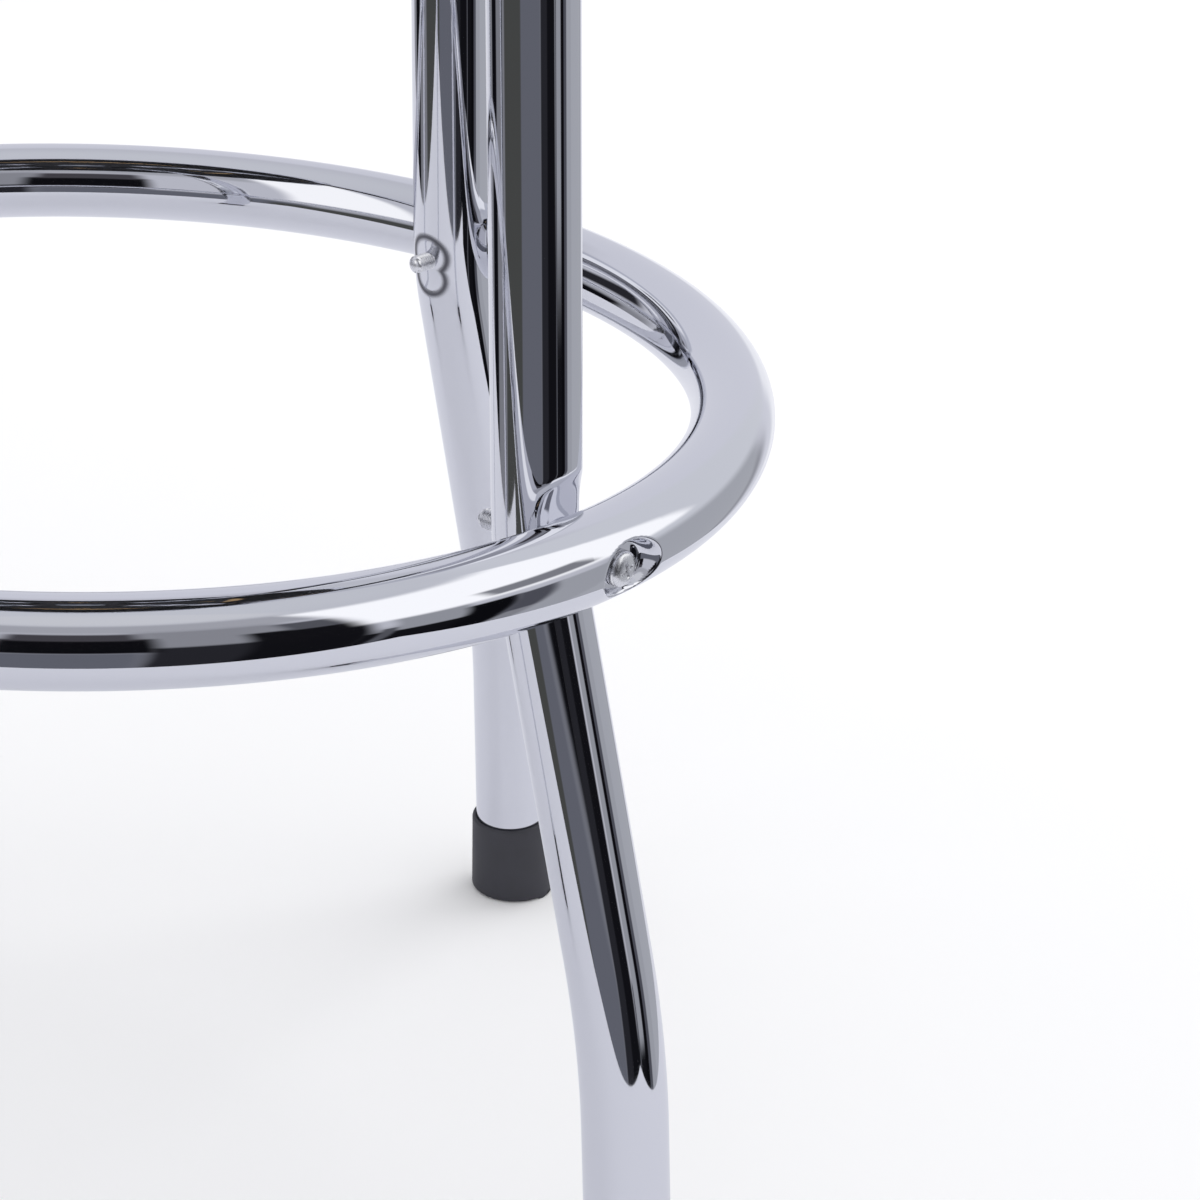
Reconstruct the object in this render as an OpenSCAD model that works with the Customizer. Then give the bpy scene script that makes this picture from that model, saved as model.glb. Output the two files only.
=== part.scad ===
// Chrome garage stool with a round foot ring and a swivelling padded seat.
// +Z is up, and the origin is on the floor under the middle of the seat.
// The legs stand on the diagonals, so the front of the stool looks along -Y.

/* [Tube] */
// Outside diameter of the leg and ring tube
tube_d = 25.4; // [22:0.1:28]
// Wall of the tube
tube_wall = 1.2; // [1:0.1:2]

/* [Foot ring] */
// Radius of the ring at the middle of its tube
ring_r = 196.5; // [185:0.5:210]
// Height of the middle of the ring above the floor
ring_height = 259; // [250:1:300]
// How deep the ring nests in the saddle pressed into each leg
saddle_depth = 4; // [2:0.1:6]
// Radius of the round die that presses the saddle
saddle_die_r = 45; // [30:1:60]
// Depth of the pocket pressed into the ring for each screw
pocket_depth = 5.2; // [4.8:0.1:8]
// Diameter of the pocket at its floor
pocket_floor_d = 13; // [11.4:0.1:14]
// Diameter of the pocket level with the outside of the tube
pocket_mouth_d = 24; // [18:0.1:26]

/* [Leg shape] */
// Lean of the leg above the ring, in degrees from upright
upper_lean = 3.9; // [2:0.1:5]
// Lean of the kicked out part, in degrees from upright
kick_lean = 15.9; // [12:0.1:18]
// Lean of the foot part, in degrees from upright
foot_lean = 5.5; // [3:0.1:8]
// How far the kick's corner lies below the middle of the ring
kick_drop = 6; // [2:0.5:12]
// Height of the kicked out part, from corner to corner
kick_h = 140; // [110:1:160]
// Bend radius at the ring
kick_bend_r = 120; // [80:5:150]
// Bend radius above the foot
foot_bend_r = 300; // [150:10:350]
// Bend radius under the seat
top_bend_r = 50; // [40:1:60]
// Where the leg ends under the seat, measured from the middle
leg_end_r = 46; // [40:1:50]

/* [Rubber tip] */
// Height of the rubber tip above the floor
tip_h = 31; // [28:1:45]
// Diameter of the tip at its rim
tip_rim_d = 28.4; // [27:0.1:32]
// Diameter of the tip at the floor
tip_sole_d = 29.8; // [28:0.1:38]
// Thickness of the rubber under the tube
tip_floor = 6; // [4:0.5:9]
// Depth of the ring groove moulded into the sole
tip_groove_t = 1; // [0.5:0.1:2]

/* [Ring screw] */
// Thread diameter of the ring screw
screw_d = 6; // [5:0.1:6]
// Length of the ring screw under its head
screw_len = 48; // [46:0.5:52]
// How far the screw lies below the middle of the ring's tube
screw_drop = 1.3; // [0:0.1:2]
// Head diameter of the ring screw
screw_head_d = 10.4; // [10:0.1:12]
// Head height of the ring screw
screw_head_h = 3.6; // [3:0.1:4.4]
// Width across the flats of the nut inside the leg
leg_nut_w = 10; // [9:0.1:11]
// Height of the nut inside the leg
leg_nut_h = 5; // [4:0.1:6]

/* [Leg bolts] */
// Radius of the inner leg bolts from the middle
bolt_in_r = 64; // [63:0.5:66]
// Radius of the outer leg bolts from the middle
bolt_out_r = 94; // [92:0.5:95]
// Thread diameter of the leg bolts
bolt_d = 6; // [5:0.1:6]
// Width across the flats of bolt heads and nuts
hex_w = 10; // [9:0.1:10]
// Height of a bolt head
bolt_head_h = 4; // [3.5:0.1:5]
// Height of a nut
nut_h = 5; // [4:0.1:5]
// Thinnest part of the saddle washer under a bolt head
saddle_t = 1.6; // [1:0.1:3]
// Side of the saddle washer
saddle_w = 15; // [13:0.5:18]

/* [Swivel] */
// Thickness of the swivel plates
plate_t = 3; // [2.5:0.1:4]
// Side of the lower plate
lower_plate_w = 184; // [176:1:196]
// Side of the upper plate
upper_plate_w = 142; // [136:1:150]
// Corner radius of the lower plate
lower_corner_r = 22; // [12:1:30]
// Corner radius of the upper plate
upper_corner_r = 14; // [8:1:20]
// Gap between the flats of the two plates
race_gap = 7.4; // [7.2:0.1:8]
// Diameter of a bearing ball
ball_d = 9.5; // [9:0.1:10]
// Radius of the ball circle
ball_r = 40; // [36:0.5:44]
// Number of bearing balls
ball_count = 14; // [10:1:16]
// Thickness of the ball cage
cage_t = 1.6; // [1:0.1:2.4]
// Width of the ball cage's ring
cage_w = 17; // [15:0.5:20]
// Diameter of the king pin
pin_d = 14; // [12:0.5:18]
// Diameter of the king pin's head
pin_head_d = 24; // [22:0.5:30]
// Height of the king pin's head and of its spread end
pin_head_h = 3; // [2:0.1:5]
// Diameter of the king pin's washer
pin_washer_d = 30; // [28:0.5:36]
// Thickness of the king pin's washer
pin_washer_t = 2; // [1:0.1:3]
// Radius of the circle of seat screws
seat_screw_r = 78; // [77:0.5:80]
// Length of the seat screws under their heads
seat_screw_len = 13; // [11:0.5:14]

/* [Seat] */
// Height of the middle of the seat above the floor
seat_height = 737; // [700:1:780]
// Diameter of the seat over its chrome band
seat_d = 356; // [340:1:380]
// Thickness of the plywood board
board_t = 12; // [12:0.5:18]
// Thickness of the foam at the middle
foam_t = 52; // [44:1:64]
// Thickness of the vinyl cover
cover_t = 1.2; // [0.8:0.1:1.6]
// How much lower the piping lies than the middle of the seat
crown_drop = 13; // [8:0.5:18]
// How far the side of the cushion stands out between band and piping
side_bulge = 2.2; // [1:0.1:4]
// How far the piping is drawn in from the chrome band
shoulder_in = 5; // [3:0.5:10]
// Diameter of the piping
piping_d = 5; // [4:0.1:6]
// How deep the piping sits in the seam of the cover
piping_sink = 0.5; // [0.2:0.1:0.7]
// Width of the vinyl turned in under the board
turn_in = 30; // [24:1:36]

/* [Chrome band] */
// Height of the chrome band
band_h = 34; // [28:1:38]
// Thickness of the band's sheet
band_t = 0.8; // [0.6:0.1:1.2]
// Width of the band's lip under the board
lip_w = 10; // [8:0.5:14]
// Width of each rolled bead on the band
bead_w = 5; // [3:0.1:6]
// Number of beads on the band
bead_count = 3; // [2:1:3]
// Number of screws through the band's lip
band_screw_count = 6; // [4:1:10]
// Shank diameter of a band screw
band_screw_d = 3; // [2.5:0.1:4]
// Length of a band screw under its head
band_screw_len = 9; // [7:0.5:11]

/* [Under cover] */
// Thickness of the dust cover
dust_t = 0.8; // [0.5:0.1:1.2]
// Radius of the hole in the dust cover
dust_hole_r = 104; // [100:1:110]
// Width of a staple
staple_w = 10; // [8:0.5:12]
// Thickness of the staple wire
staple_t = 1; // [0.8:0.1:1.2]
// Length of a staple's legs
staple_len = 6; // [5:0.5:8]
// Number of staples
staple_count = 16; // [12:1:24]

/* [Hidden] */
$fn = 96;

// Clearances and overruns
fit = 0.05;
run_fit = 0.15;
hole_fit = 0.5;
cut = 1;

// Where each leg stands, turned from +X
FRONT_RIGHT = -45;
REAR_RIGHT = 45;
REAR_LEFT = 135;
FRONT_LEFT = 225;
LEG_TURNS = [FRONT_RIGHT, REAR_RIGHT, REAR_LEFT, FRONT_LEFT];

tube_r = tube_d / 2;
bore_r = tube_r - tube_wall;

// Heights of the seat's layers, from the top down
foam_top = seat_height - cover_t;
board_top = foam_top - foam_t;
board_z = board_top - board_t;
upper_plate_z = board_z - plate_t;
race_z = upper_plate_z - race_gap / 2;
lower_plate_top = upper_plate_z - race_gap;
lower_plate_z = lower_plate_top - plate_t;
leg_top_z = lower_plate_z - tube_r;

// The leg's line in its own upright plane, as [distance from the middle, height]
nest_gap = tube_d - saddle_depth;
leg_r_at_ring = ring_r - nest_gap / cos(upper_lean);
kick_z = ring_height - kick_drop;
kick_r = leg_r_at_ring + kick_drop * tan(upper_lean);
ankle_z = kick_z - kick_h;
ankle_r = kick_r + kick_h * tan(kick_lean);
sole_r = ankle_r + ankle_z * tan(foot_lean);
tip_washer_t = tube_wall;
tube_end = tip_floor + tip_washer_t;
foot_r = sole_r - tube_end * sin(foot_lean);
foot_z = tube_end * cos(foot_lean);
corner_r = leg_r_at_ring - (leg_top_z - ring_height) * tan(upper_lean);
leg_path = [[foot_r, foot_z], [ankle_r, ankle_z], [kick_r, kick_z],
    [corner_r, leg_top_z], [leg_end_r, leg_top_z]];
leg_bends = [0, foot_bend_r, kick_bend_r, top_bend_r, 0];

// Places along the ring screw, measured outwards from the middle of the ring's tube
pocket_floor = tube_r - pocket_depth;
recess_share = 0.45;
leg_inner_wall = -nest_gap - bore_r;
screw_hole_d = screw_d + hole_fit;

// Places of the leg bolts
bolt_rs = [bolt_in_r, bolt_out_r];
bolt_hole_d = bolt_d + hole_fit;
bolt_head_z = lower_plate_z - tube_d - saddle_t;
bolt_end = hole_fit * 2;
hex_d = hex_w / cos(30);

// Swivel details
ball_step = 360 / ball_count;
pin_bore_d = pin_d + fit * 2;
seat_hole_d = screw_d + hole_fit;
access_d = screw_head_d + hole_fit * 4;
tee_flange_d = screw_d * 3;
tee_flange_t = plate_t / 2;
tee_barrel_d = screw_d + plate_t;

// Seat outline
band_out_r = seat_d / 2;
cover_r = band_out_r - band_t - run_fit;
board_r = cover_r - cover_t - fit;
piping_r = cover_r - shoulder_in;
piping_z = seat_height - crown_drop;
under_z = board_z - cover_t;
band_z = under_z - band_t - fit;
band_top = band_z + band_h;
lip_r = band_out_r - lip_w;
screw_circle_r = band_out_r - lip_w / 2;
band_head_d = band_screw_d * 2;
band_head_h = band_screw_d / 2;
staple_r = cover_r - turn_in + staple_t * 3;
dust_z = under_z - dust_t;
dust_r = staple_r + staple_t * 4;

// The leg's pressed saddle
ring_middle = [ring_r, ring_height];
press_dir = [cos(upper_lean), sin(upper_lean)];
saddle_fit = fit * 2;
saddle_blend = tube_wall * 2.5;
saddle_reach = sqrt(pow(saddle_die_r, 2) - pow(saddle_die_r - saddle_depth, 2));

// Steps round the leg's tube and along its bends
LEG_SIDES = 20;
FOOT_STEPS = 3;
BELOW_STEPS = 2;
KICK_STEPS = 13;
ABOVE_STEPS = 6;
TOP_STEPS = 9;

// The largest round that slides into the tube's many-sided bore
bore_fit_r = bore_r * cos(180 / LEG_SIDES) - fit;

// The nut sits where the kick's bend leaves the straight line by up to this much
kick_turn = kick_lean - upper_lean;
kick_sag = kick_bend_r * (1 / cos(kick_turn / 2) - 1) + screw_drop * tan(kick_turn);

// Outline steps of the cushion
SIDE_STEPS = 8;
CROWN_STEPS = 14;
crown_power_share = 2.6;

function unit(v) = v / norm(v);

// Angle turned at b on the way from a to c
function bend_angle(a, b, c) = acos(unit(b - a) * unit(c - b));

// A straight round bar of radius r in the plane y = 0, from a to b as [x, z]
module straight(a, b, r) {
    run = b - a;
    translate([a.x, 0, a.y])
        rotate([0, atan2(run.x, run.y), 0])
            cylinder(r = r, h = norm(run));
}

function turned(v, angle) =
    [v.x * cos(angle) - v.y * sin(angle), v.x * sin(angle) + v.y * cos(angle)];

// Stations round the bend at corner i of the leg, each as [middle of the tube, direction]
function bend_stations(i, steps) =
    let (before = unit(leg_path[i] - leg_path[i - 1]),
        after = unit(leg_path[i + 1] - leg_path[i]),
        angle = bend_angle(leg_path[i - 1], leg_path[i], leg_path[i + 1]),
        side = before.x * after.y - before.y * after.x > 0 ? 1 : -1,
        start = leg_path[i] - before * leg_bends[i] * tan(angle / 2),
        middle = start + [-before.y, before.x] * side * leg_bends[i])
    [for (k = [0 : steps])
        let (turn = side * angle * k / steps)
        [middle + turned(start - middle, turn), turned(before, turn)]];

function leg_stations() =
    let (last = len(leg_path) - 1,
        kick = bend_stations(2, KICK_STEPS),
        below = kick[0],
        above = kick[KICK_STEPS])
    concat(
        [[leg_path[0], unit(leg_path[1] - leg_path[0])]],
        bend_stations(1, FOOT_STEPS),
        [for (k = [BELOW_STEPS : -1 : 1])
            [below[0] - below[1] * saddle_reach / 2 * k / BELOW_STEPS, below[1]]],
        kick,
        [for (k = [1 : ABOVE_STEPS])
            [above[0] + above[1] * saddle_reach * k / ABOVE_STEPS, above[1]]],
        bend_stations(3, TOP_STEPS),
        [[leg_path[last], unit(leg_path[last] - leg_path[last - 1])]]);

// The lower of two values, with the corner between them rounded over
function soft_min(a, b) =
    let (near = max(saddle_blend - abs(a - b), 0) / saddle_blend)
    min(a, b) - near * near * saddle_blend / 4;

// How far out the tube's wall may reach under the die, which leaves room for the ring
function press_limit(t, w, die_r) = abs(t) < die_r
    ? sqrt(ring_r * ring_r - w * w) - ring_r - tube_r - saddle_fit
        + saddle_die_r - sqrt(die_r * die_r - t * t) : ring_r;

// One point of the tube's skin: round, then pressed in by a round die of radius die_r
function skin_point(station, turn, r, die_r) =
    let (out = [station[1].y, -station[1].x],
        p = station[0] + out * r * cos(turn),
        w = r * sin(turn),
        q = (p - ring_middle) * press_dir,
        t = (p - ring_middle) * [-press_dir.y, press_dir.x],
        moved = p + press_dir * (soft_min(q, press_limit(t, w, die_r)) - q))
    [moved.x, w, moved.y];

function skin(stations, r, die_r) =
    [for (station = stations, j = [0 : LEG_SIDES - 1])
        skin_point(station, j * 360 / LEG_SIDES, r, die_r)];

function two_triangles(a, b, c, d) = [[a, b, c], [a, c, d]];

// A tube with an outer and an inner skin, closed by a flat ring at each end
module pressed_tube() {
    stations = leg_stations();
    count = len(stations);
    inner = count * LEG_SIDES;
    quads = [for (i = [0 : count - 2], j = [0 : LEG_SIDES - 1])
        let (a = i * LEG_SIDES + j, b = i * LEG_SIDES + (j + 1) % LEG_SIDES, up = LEG_SIDES)
        each [[a, a + up, b + up, b], [inner + a, inner + b, inner + b + up, inner + a + up]]];
    caps = [for (j = [0 : LEG_SIDES - 1])
        let (b = (j + 1) % LEG_SIDES, top = inner - LEG_SIDES)
        each [[j, b, inner + b, inner + j],
            [top + b, top + j, inner + top + j, inner + top + b]]];
    polyhedron(
        points = concat(skin(stations, tube_r, saddle_die_r),
            skin(stations, bore_r, saddle_die_r + tube_wall)),
        faces = [for (f = concat(quads, caps)) each two_triangles(f[0], f[1], f[2], f[3])]);
}

// A solid ring of tube radius r on the foot ring's centre line
module ring_torus(r) {
    translate([0, 0, ring_height])
        rotate_extrude() translate([ring_r, 0]) circle(r = r);
}

// Puts children on the ring screw's level line: +Z outwards, zero under the middle of the ring's tube
module on_screw_line() {
    translate([ring_r, 0, ring_height - screw_drop])
        rotate([0, 90, 0]) children();
}

module at_legs() {
    for (turn = LEG_TURNS) rotate([0, 0, turn]) children();
}

module at_bolts() {
    for (r = bolt_rs) translate([r, 0, 0]) children();
}

module at_foot() {
    translate([sole_r, 0, 0]) rotate([0, -foot_lean, 0]) children();
}

// One leg, in the plane y = 0: a bent tube with a saddle pressed in for the ring
module leg() {
    color([0.78, 0.78, 0.8])
        difference() {
            pressed_tube();
            on_screw_line()
                translate([0, 0, -nest_gap - tube_d])
                    cylinder(d = screw_hole_d, h = nest_gap + tube_d);
            at_bolts()
                translate([0, 0, leg_top_z - tube_d])
                    cylinder(d = bolt_hole_d, h = tube_d * 2);
        }
}

// The ring's hollow goes round the pressed pockets, so each pocket keeps a wall
module foot_ring() {
    color([0.8, 0.8, 0.82])
        difference() {
            ring_torus(tube_r);
            difference() {
                ring_torus(bore_r);
                at_legs() on_screw_line()
                    translate([0, 0, pocket_floor - tube_wall])
                        pocket(tube_wall * 2, pocket_depth + tube_wall * 2);
            }
            at_legs() on_screw_line() {
                translate([0, 0, pocket_floor]) pocket(0, pocket_depth + cut);
                translate([0, 0, -tube_d]) cylinder(d = screw_hole_d, h = tube_d);
                cylinder(d = screw_hole_d, h = tube_r);
            }
        }
}

// The tapering pocket, wider all over by extra, as high as h
module pocket(extra, h) {
    slope = (pocket_mouth_d - pocket_floor_d) / pocket_depth;
    cylinder(d1 = pocket_floor_d + extra, d2 = pocket_floor_d + extra + slope * h, h = h);
}

module ring_screws() {
    recess_d = screw_head_d * recess_share;
    color([0.75, 0.75, 0.77])
        at_legs() on_screw_line()
            translate([0, 0, pocket_floor + fit]) {
                translate([0, 0, -screw_len]) cylinder(d = screw_d - fit * 2, h = screw_len);
                difference() {
                    screw_head();
                    cross_recess(recess_d, screw_head_h);
                }
            }
}

// A pan head: a short drum with a domed top
module screw_head() {
    drum_h = screw_head_h / 2;
    dome_r = (pow(screw_head_d / 2, 2) + pow(screw_head_h - drum_h, 2)) / 2 / (screw_head_h - drum_h);
    cylinder(d = screw_head_d, h = drum_h);
    intersection() {
        cylinder(d = screw_head_d, h = screw_head_h);
        translate([0, 0, screw_head_h - dome_r]) sphere(r = dome_r);
    }
}

// A cross recess cut down from the top of a head that is h high
module cross_recess(reach, h) {
    slot_w = reach / 4;
    for (turn = [0, 90])
        rotate([0, 0, turn])
            translate([-reach / 2, -slot_w / 2, h / 2]) cube([reach, slot_w, h]);
}

module leg_nuts() {
    color([0.7, 0.68, 0.6])
        at_legs()
            intersection() {
                on_screw_line()
                    difference() {
                        translate([0, 0, leg_inner_wall])
                            cylinder(d = leg_nut_w / cos(30), h = leg_nut_h, $fn = 6);
                        translate([0, 0, leg_inner_wall - cut])
                            cylinder(d = screw_d, h = leg_nut_h + cut * 2);
                    }
                straight(leg_path[2], leg_path[3], bore_fit_r - kick_sag);
            }
}

// One rubber tip, cut level at the floor, with a ring groove in its sole
module tip() {
    slope = (tip_sole_d - tip_rim_d) / 2 / tip_h;
    below = tip_sole_d / 2 * sin(foot_lean) + cut;
    groove_w = tip_groove_t * 3;
    color([0.13, 0.13, 0.14])
        difference() {
            at_foot()
                translate([0, 0, -below])
                    cylinder(r1 = tip_sole_d / 2 + slope * below, r2 = tip_rim_d / 2, h = tip_h + below);
            at_foot()
                translate([0, 0, tip_floor]) cylinder(r = tube_r, h = tip_h);
            translate([sole_r - tip_sole_d, -tip_sole_d, -tip_h])
                cube([tip_sole_d * 2, tip_sole_d * 2, tip_h]);
            translate([sole_r, 0, -cut])
                difference() {
                    cylinder(d = tip_sole_d / 2 + groove_w, h = tip_groove_t + cut);
                    translate([0, 0, -cut])
                        cylinder(d = tip_sole_d / 2 - groove_w, h = tip_groove_t + cut * 3);
                }
        }
}

module tip_washers() {
    color([0.6, 0.6, 0.6])
        at_legs() at_foot()
            translate([0, 0, tip_floor])
                difference() {
                    cylinder(r = tube_r - fit, h = tip_washer_t);
                    translate([0, 0, -cut]) cylinder(d = screw_d, h = tip_washer_t + cut * 2);
                }
}

module leg_plugs() {
    rib = tube_wall;
    color([0.1, 0.1, 0.1])
        at_legs()
            translate([leg_end_r, 0, leg_top_z])
                rotate([0, 90, 0])
                    difference() {
                        union() {
                            translate([0, 0, -tube_wall * 2]) cylinder(r = tube_r - fit, h = tube_wall * 2);
                            cylinder(r = bore_fit_r, h = bore_r);
                        }
                        translate([0, 0, rib]) cylinder(r = bore_r - rib * 2, h = bore_r);
                    }
}

module leg_bolts() {
    shank = lower_plate_top + nut_h + bolt_end - bolt_head_z;
    color([0.72, 0.72, 0.7])
        at_legs() at_bolts()
            translate([0, 0, bolt_head_z]) {
                cylinder(d = bolt_d - fit * 2, h = shank);
                translate([0, 0, -bolt_head_h]) cylinder(d = hex_d, h = bolt_head_h, $fn = 6);
            }
}

module saddle_washers() {
    saddle_h = saddle_t + tube_r / 3;
    color([0.15, 0.15, 0.15])
        at_legs() at_bolts()
            difference() {
                translate([-saddle_w / 2, -saddle_w / 2, bolt_head_z + fit])
                    cube([saddle_w, saddle_w, saddle_h]);
                translate([-saddle_w, 0, leg_top_z])
                    rotate([0, 90, 0]) cylinder(r = tube_r + fit, h = saddle_w * 2);
                translate([0, 0, bolt_head_z - cut]) cylinder(d = bolt_hole_d, h = saddle_h + cut * 2);
            }
}

module bolt_nuts() {
    color([0.72, 0.72, 0.7])
        at_legs() at_bolts()
            translate([0, 0, lower_plate_top])
                difference() {
                    cylinder(d = hex_d, h = nut_h, $fn = 6);
                    translate([0, 0, -cut]) cylinder(d = bolt_d, h = nut_h + cut * 2);
                }
}

// A square plate with round corners, bottom face at zero
module corner_plate(side, corner, h) {
    edge = side / 2 - corner;
    linear_extrude(h)
        union() {
            square([side, edge * 2], center = true);
            square([edge * 2, side], center = true);
            for (x = [-edge, edge], y = [-edge, edge])
                translate([x, y]) circle(r = corner);
        }
}

module ball_groove() {
    translate([0, 0, race_z])
        rotate_extrude() translate([ball_r, 0]) circle(d = ball_d + run_fit * 2);
}

module lower_plate() {
    color([0.25, 0.25, 0.26])
        difference() {
            translate([0, 0, lower_plate_z]) corner_plate(lower_plate_w, lower_corner_r, plate_t);
            ball_groove();
            translate([0, 0, lower_plate_z - cut]) {
                cylinder(d = pin_bore_d, h = plate_t + cut * 2);
                at_legs() at_bolts() cylinder(d = bolt_hole_d, h = plate_t + cut * 2);
                for (turn = [0 : 90 : 270])
                    rotate([0, 0, turn])
                        translate([seat_screw_r, 0, 0]) cylinder(d = access_d, h = plate_t + cut * 2);
            }
        }
}

module bearing_balls() {
    color([0.85, 0.85, 0.87])
        for (i = [0 : ball_count - 1])
            rotate([0, 0, i * ball_step])
                translate([ball_r, 0, race_z]) sphere(d = ball_d);
}

module ball_cage() {
    color([0.7, 0.6, 0.35])
        translate([0, 0, race_z - cage_t / 2])
            difference() {
                cylinder(r = ball_r + cage_w / 2, h = cage_t);
                translate([0, 0, -cut]) {
                    cylinder(r = ball_r - cage_w / 2, h = cage_t + cut * 2);
                    for (i = [0 : ball_count - 1])
                        rotate([0, 0, i * ball_step])
                            translate([ball_r, 0, 0])
                                cylinder(d = ball_d + run_fit * 2, h = cage_t + cut * 2);
                }
            }
}

module upper_plate() {
    color([0.25, 0.25, 0.26])
        difference() {
            translate([0, 0, upper_plate_z]) corner_plate(upper_plate_w, upper_corner_r, plate_t);
            ball_groove();
            translate([0, 0, upper_plate_z - cut]) {
                cylinder(d = pin_bore_d, h = plate_t + cut * 2);
                at_legs() translate([seat_screw_r, 0, 0])
                    cylinder(d = seat_hole_d, h = plate_t + cut * 2);
            }
        }
}

module king_pin() {
    washer_z = lower_plate_z - run_fit - pin_washer_t;
    color([0.6, 0.6, 0.6]) {
        translate([0, 0, washer_z]) cylinder(d = pin_d, h = board_z - washer_z);
        translate([0, 0, board_z + fit]) cylinder(d = pin_head_d, h = pin_head_h);
        translate([0, 0, board_z]) cylinder(d = pin_d, h = pin_head_h);
        translate([0, 0, washer_z - fit - pin_head_h])
            cylinder(d1 = pin_d, d2 = (pin_d + pin_washer_d) / 2, h = pin_head_h);
        translate([0, 0, washer_z - fit]) cylinder(d = pin_d, h = fit);
    }
}

module pin_washer() {
    color([0.65, 0.65, 0.66])
        translate([0, 0, lower_plate_z - run_fit - pin_washer_t])
            difference() {
                cylinder(d = pin_washer_d, h = pin_washer_t);
                translate([0, 0, -cut]) cylinder(d = pin_bore_d, h = pin_washer_t + cut * 2);
            }
}

module seat_screws() {
    color([0.72, 0.72, 0.7])
        at_legs()
            translate([seat_screw_r, 0, upper_plate_z - fit])
                rotate([180, 0, 0]) {
                    translate([0, 0, -seat_screw_len]) cylinder(d = screw_d - fit * 2, h = seat_screw_len);
                    difference() {
                        screw_head();
                        cross_recess(screw_head_d / 2, screw_head_h);
                    }
                }
}

module tee_nuts() {
    barrel = board_t - plate_t;
    color([0.7, 0.68, 0.6])
        at_legs()
            translate([seat_screw_r, 0, board_top])
                difference() {
                    union() {
                        translate([0, 0, -tee_flange_t]) cylinder(d = tee_flange_d, h = tee_flange_t);
                        translate([0, 0, -barrel]) cylinder(d = tee_barrel_d, h = barrel);
                    }
                    translate([0, 0, -board_t]) cylinder(d = screw_d, h = board_t + cut);
                }
}

module at_staples() {
    for (i = [0 : staple_count - 1])
        rotate([0, 0, (i + 0.5) * 360 / staple_count])
            translate([staple_r, 0, 0]) children();
}

// Staple wire, with the crown under the dust cover and the legs going up; slack widens the legs
module staple(slack) {
    wire = staple_t + slack * 2;
    translate([-staple_t / 2, -staple_w / 2, dust_z - staple_t - fit]) {
        cube([staple_t, staple_w, staple_t]);
        for (y = [0, staple_w - staple_t])
            translate([-slack, y - slack, 0]) cube([wire, wire, staple_len + slack]);
    }
}

module at_band_screws() {
    for (i = [0 : band_screw_count - 1])
        rotate([0, 0, i * 360 / band_screw_count])
            translate([screw_circle_r, 0, 0]) children();
}

module seat_board() {
    color([0.76, 0.6, 0.42])
        difference() {
            translate([0, 0, board_z]) cylinder(r = board_r, h = board_t);
            translate([0, 0, board_z - cut]) {
                cylinder(d = pin_head_d + hole_fit * 4, h = board_t + cut * 2);
                at_legs() translate([seat_screw_r, 0, 0])
                    cylinder(d = tee_barrel_d + fit * 2, h = board_t + cut * 2);
            }
            at_legs() translate([seat_screw_r, 0, board_top - tee_flange_t - fit])
                cylinder(d = tee_flange_d + fit * 2, h = tee_flange_t + cut);
            at_band_screws()
                translate([0, 0, band_z]) cylinder(d = band_screw_d, h = band_screw_len + fit);
            at_staples() staple(fit);
        }
}

// Outline of the cushion, drawn in by inset on every side, from the band up and over to the middle
function side_points(inset) =
    [for (i = [0 : SIDE_STEPS])
        let (u = i / SIDE_STEPS)
        [cover_r + (piping_r - cover_r) * u * u + side_bulge * sin(180 * u) - inset,
            band_top + (piping_z - band_top) * u - (i == SIDE_STEPS ? inset : 0)]];
function crown_points(inset) =
    [for (i = [1 : CROWN_STEPS])
        let (u = 1 - i / CROWN_STEPS)
        [(piping_r - inset) * u,
            piping_z + crown_drop * (1 - pow(u, crown_power_share)) - inset]];

// Where the piping's middle lies: out of the seam between side and crown
function piping_middle() =
    let (seam = side_points(0)[SIDE_STEPS],
        side_run = unit(seam - side_points(0)[SIDE_STEPS - 1]),
        crown_run = unit(crown_points(0)[0] - seam),
        along = unit(side_run + crown_run))
    seam + [along.y, -along.x] * (piping_d / 2 - piping_sink);

module seat_foam() {
    inset = cover_t + fit;
    color([0.9, 0.86, 0.7])
        rotate_extrude()
            polygon(concat([[0, board_top + fit], [cover_r - inset, board_top + fit]],
                side_points(inset), crown_points(inset)));
}

module seat_cover() {
    inner_r = cover_r - turn_in;
    color([0.06, 0.06, 0.07])
        difference() {
            rotate_extrude()
                difference() {
                    polygon(concat([[0, under_z], [cover_r, under_z]], side_points(0), crown_points(0)));
                    polygon(concat([[0, board_z], [cover_r - cover_t, board_z]],
                        side_points(cover_t), crown_points(cover_t)));
                    translate([0, under_z - cut]) square([inner_r, cover_t + cut * 2]);
                    translate(piping_middle()) circle(d = piping_d);
                }
            at_band_screws()
                translate([0, 0, under_z - cut]) cylinder(d = band_screw_d, h = cover_t + cut * 2);
            at_staples() staple(fit);
        }
}

module seat_piping() {
    color([0.06, 0.06, 0.07])
        rotate_extrude() translate(piping_middle()) circle(d = piping_d);
}

module seat_band() {
    bead_step = (band_h - bead_w) / (bead_count + 1);
    color([0.82, 0.82, 0.84])
        difference() {
            rotate_extrude() {
                translate([lip_r, band_z]) square([lip_w, band_t]);
                translate([band_out_r - band_t, band_z]) square([band_t, band_h]);
                for (i = [1 : bead_count])
                    translate([band_out_r - band_t, band_z + bead_w / 2 + i * bead_step]) bead();
            }
            at_band_screws()
                translate([0, 0, band_z - cut]) cylinder(d = band_screw_d + hole_fit, h = band_t + cut * 2);
        }
}

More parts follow.
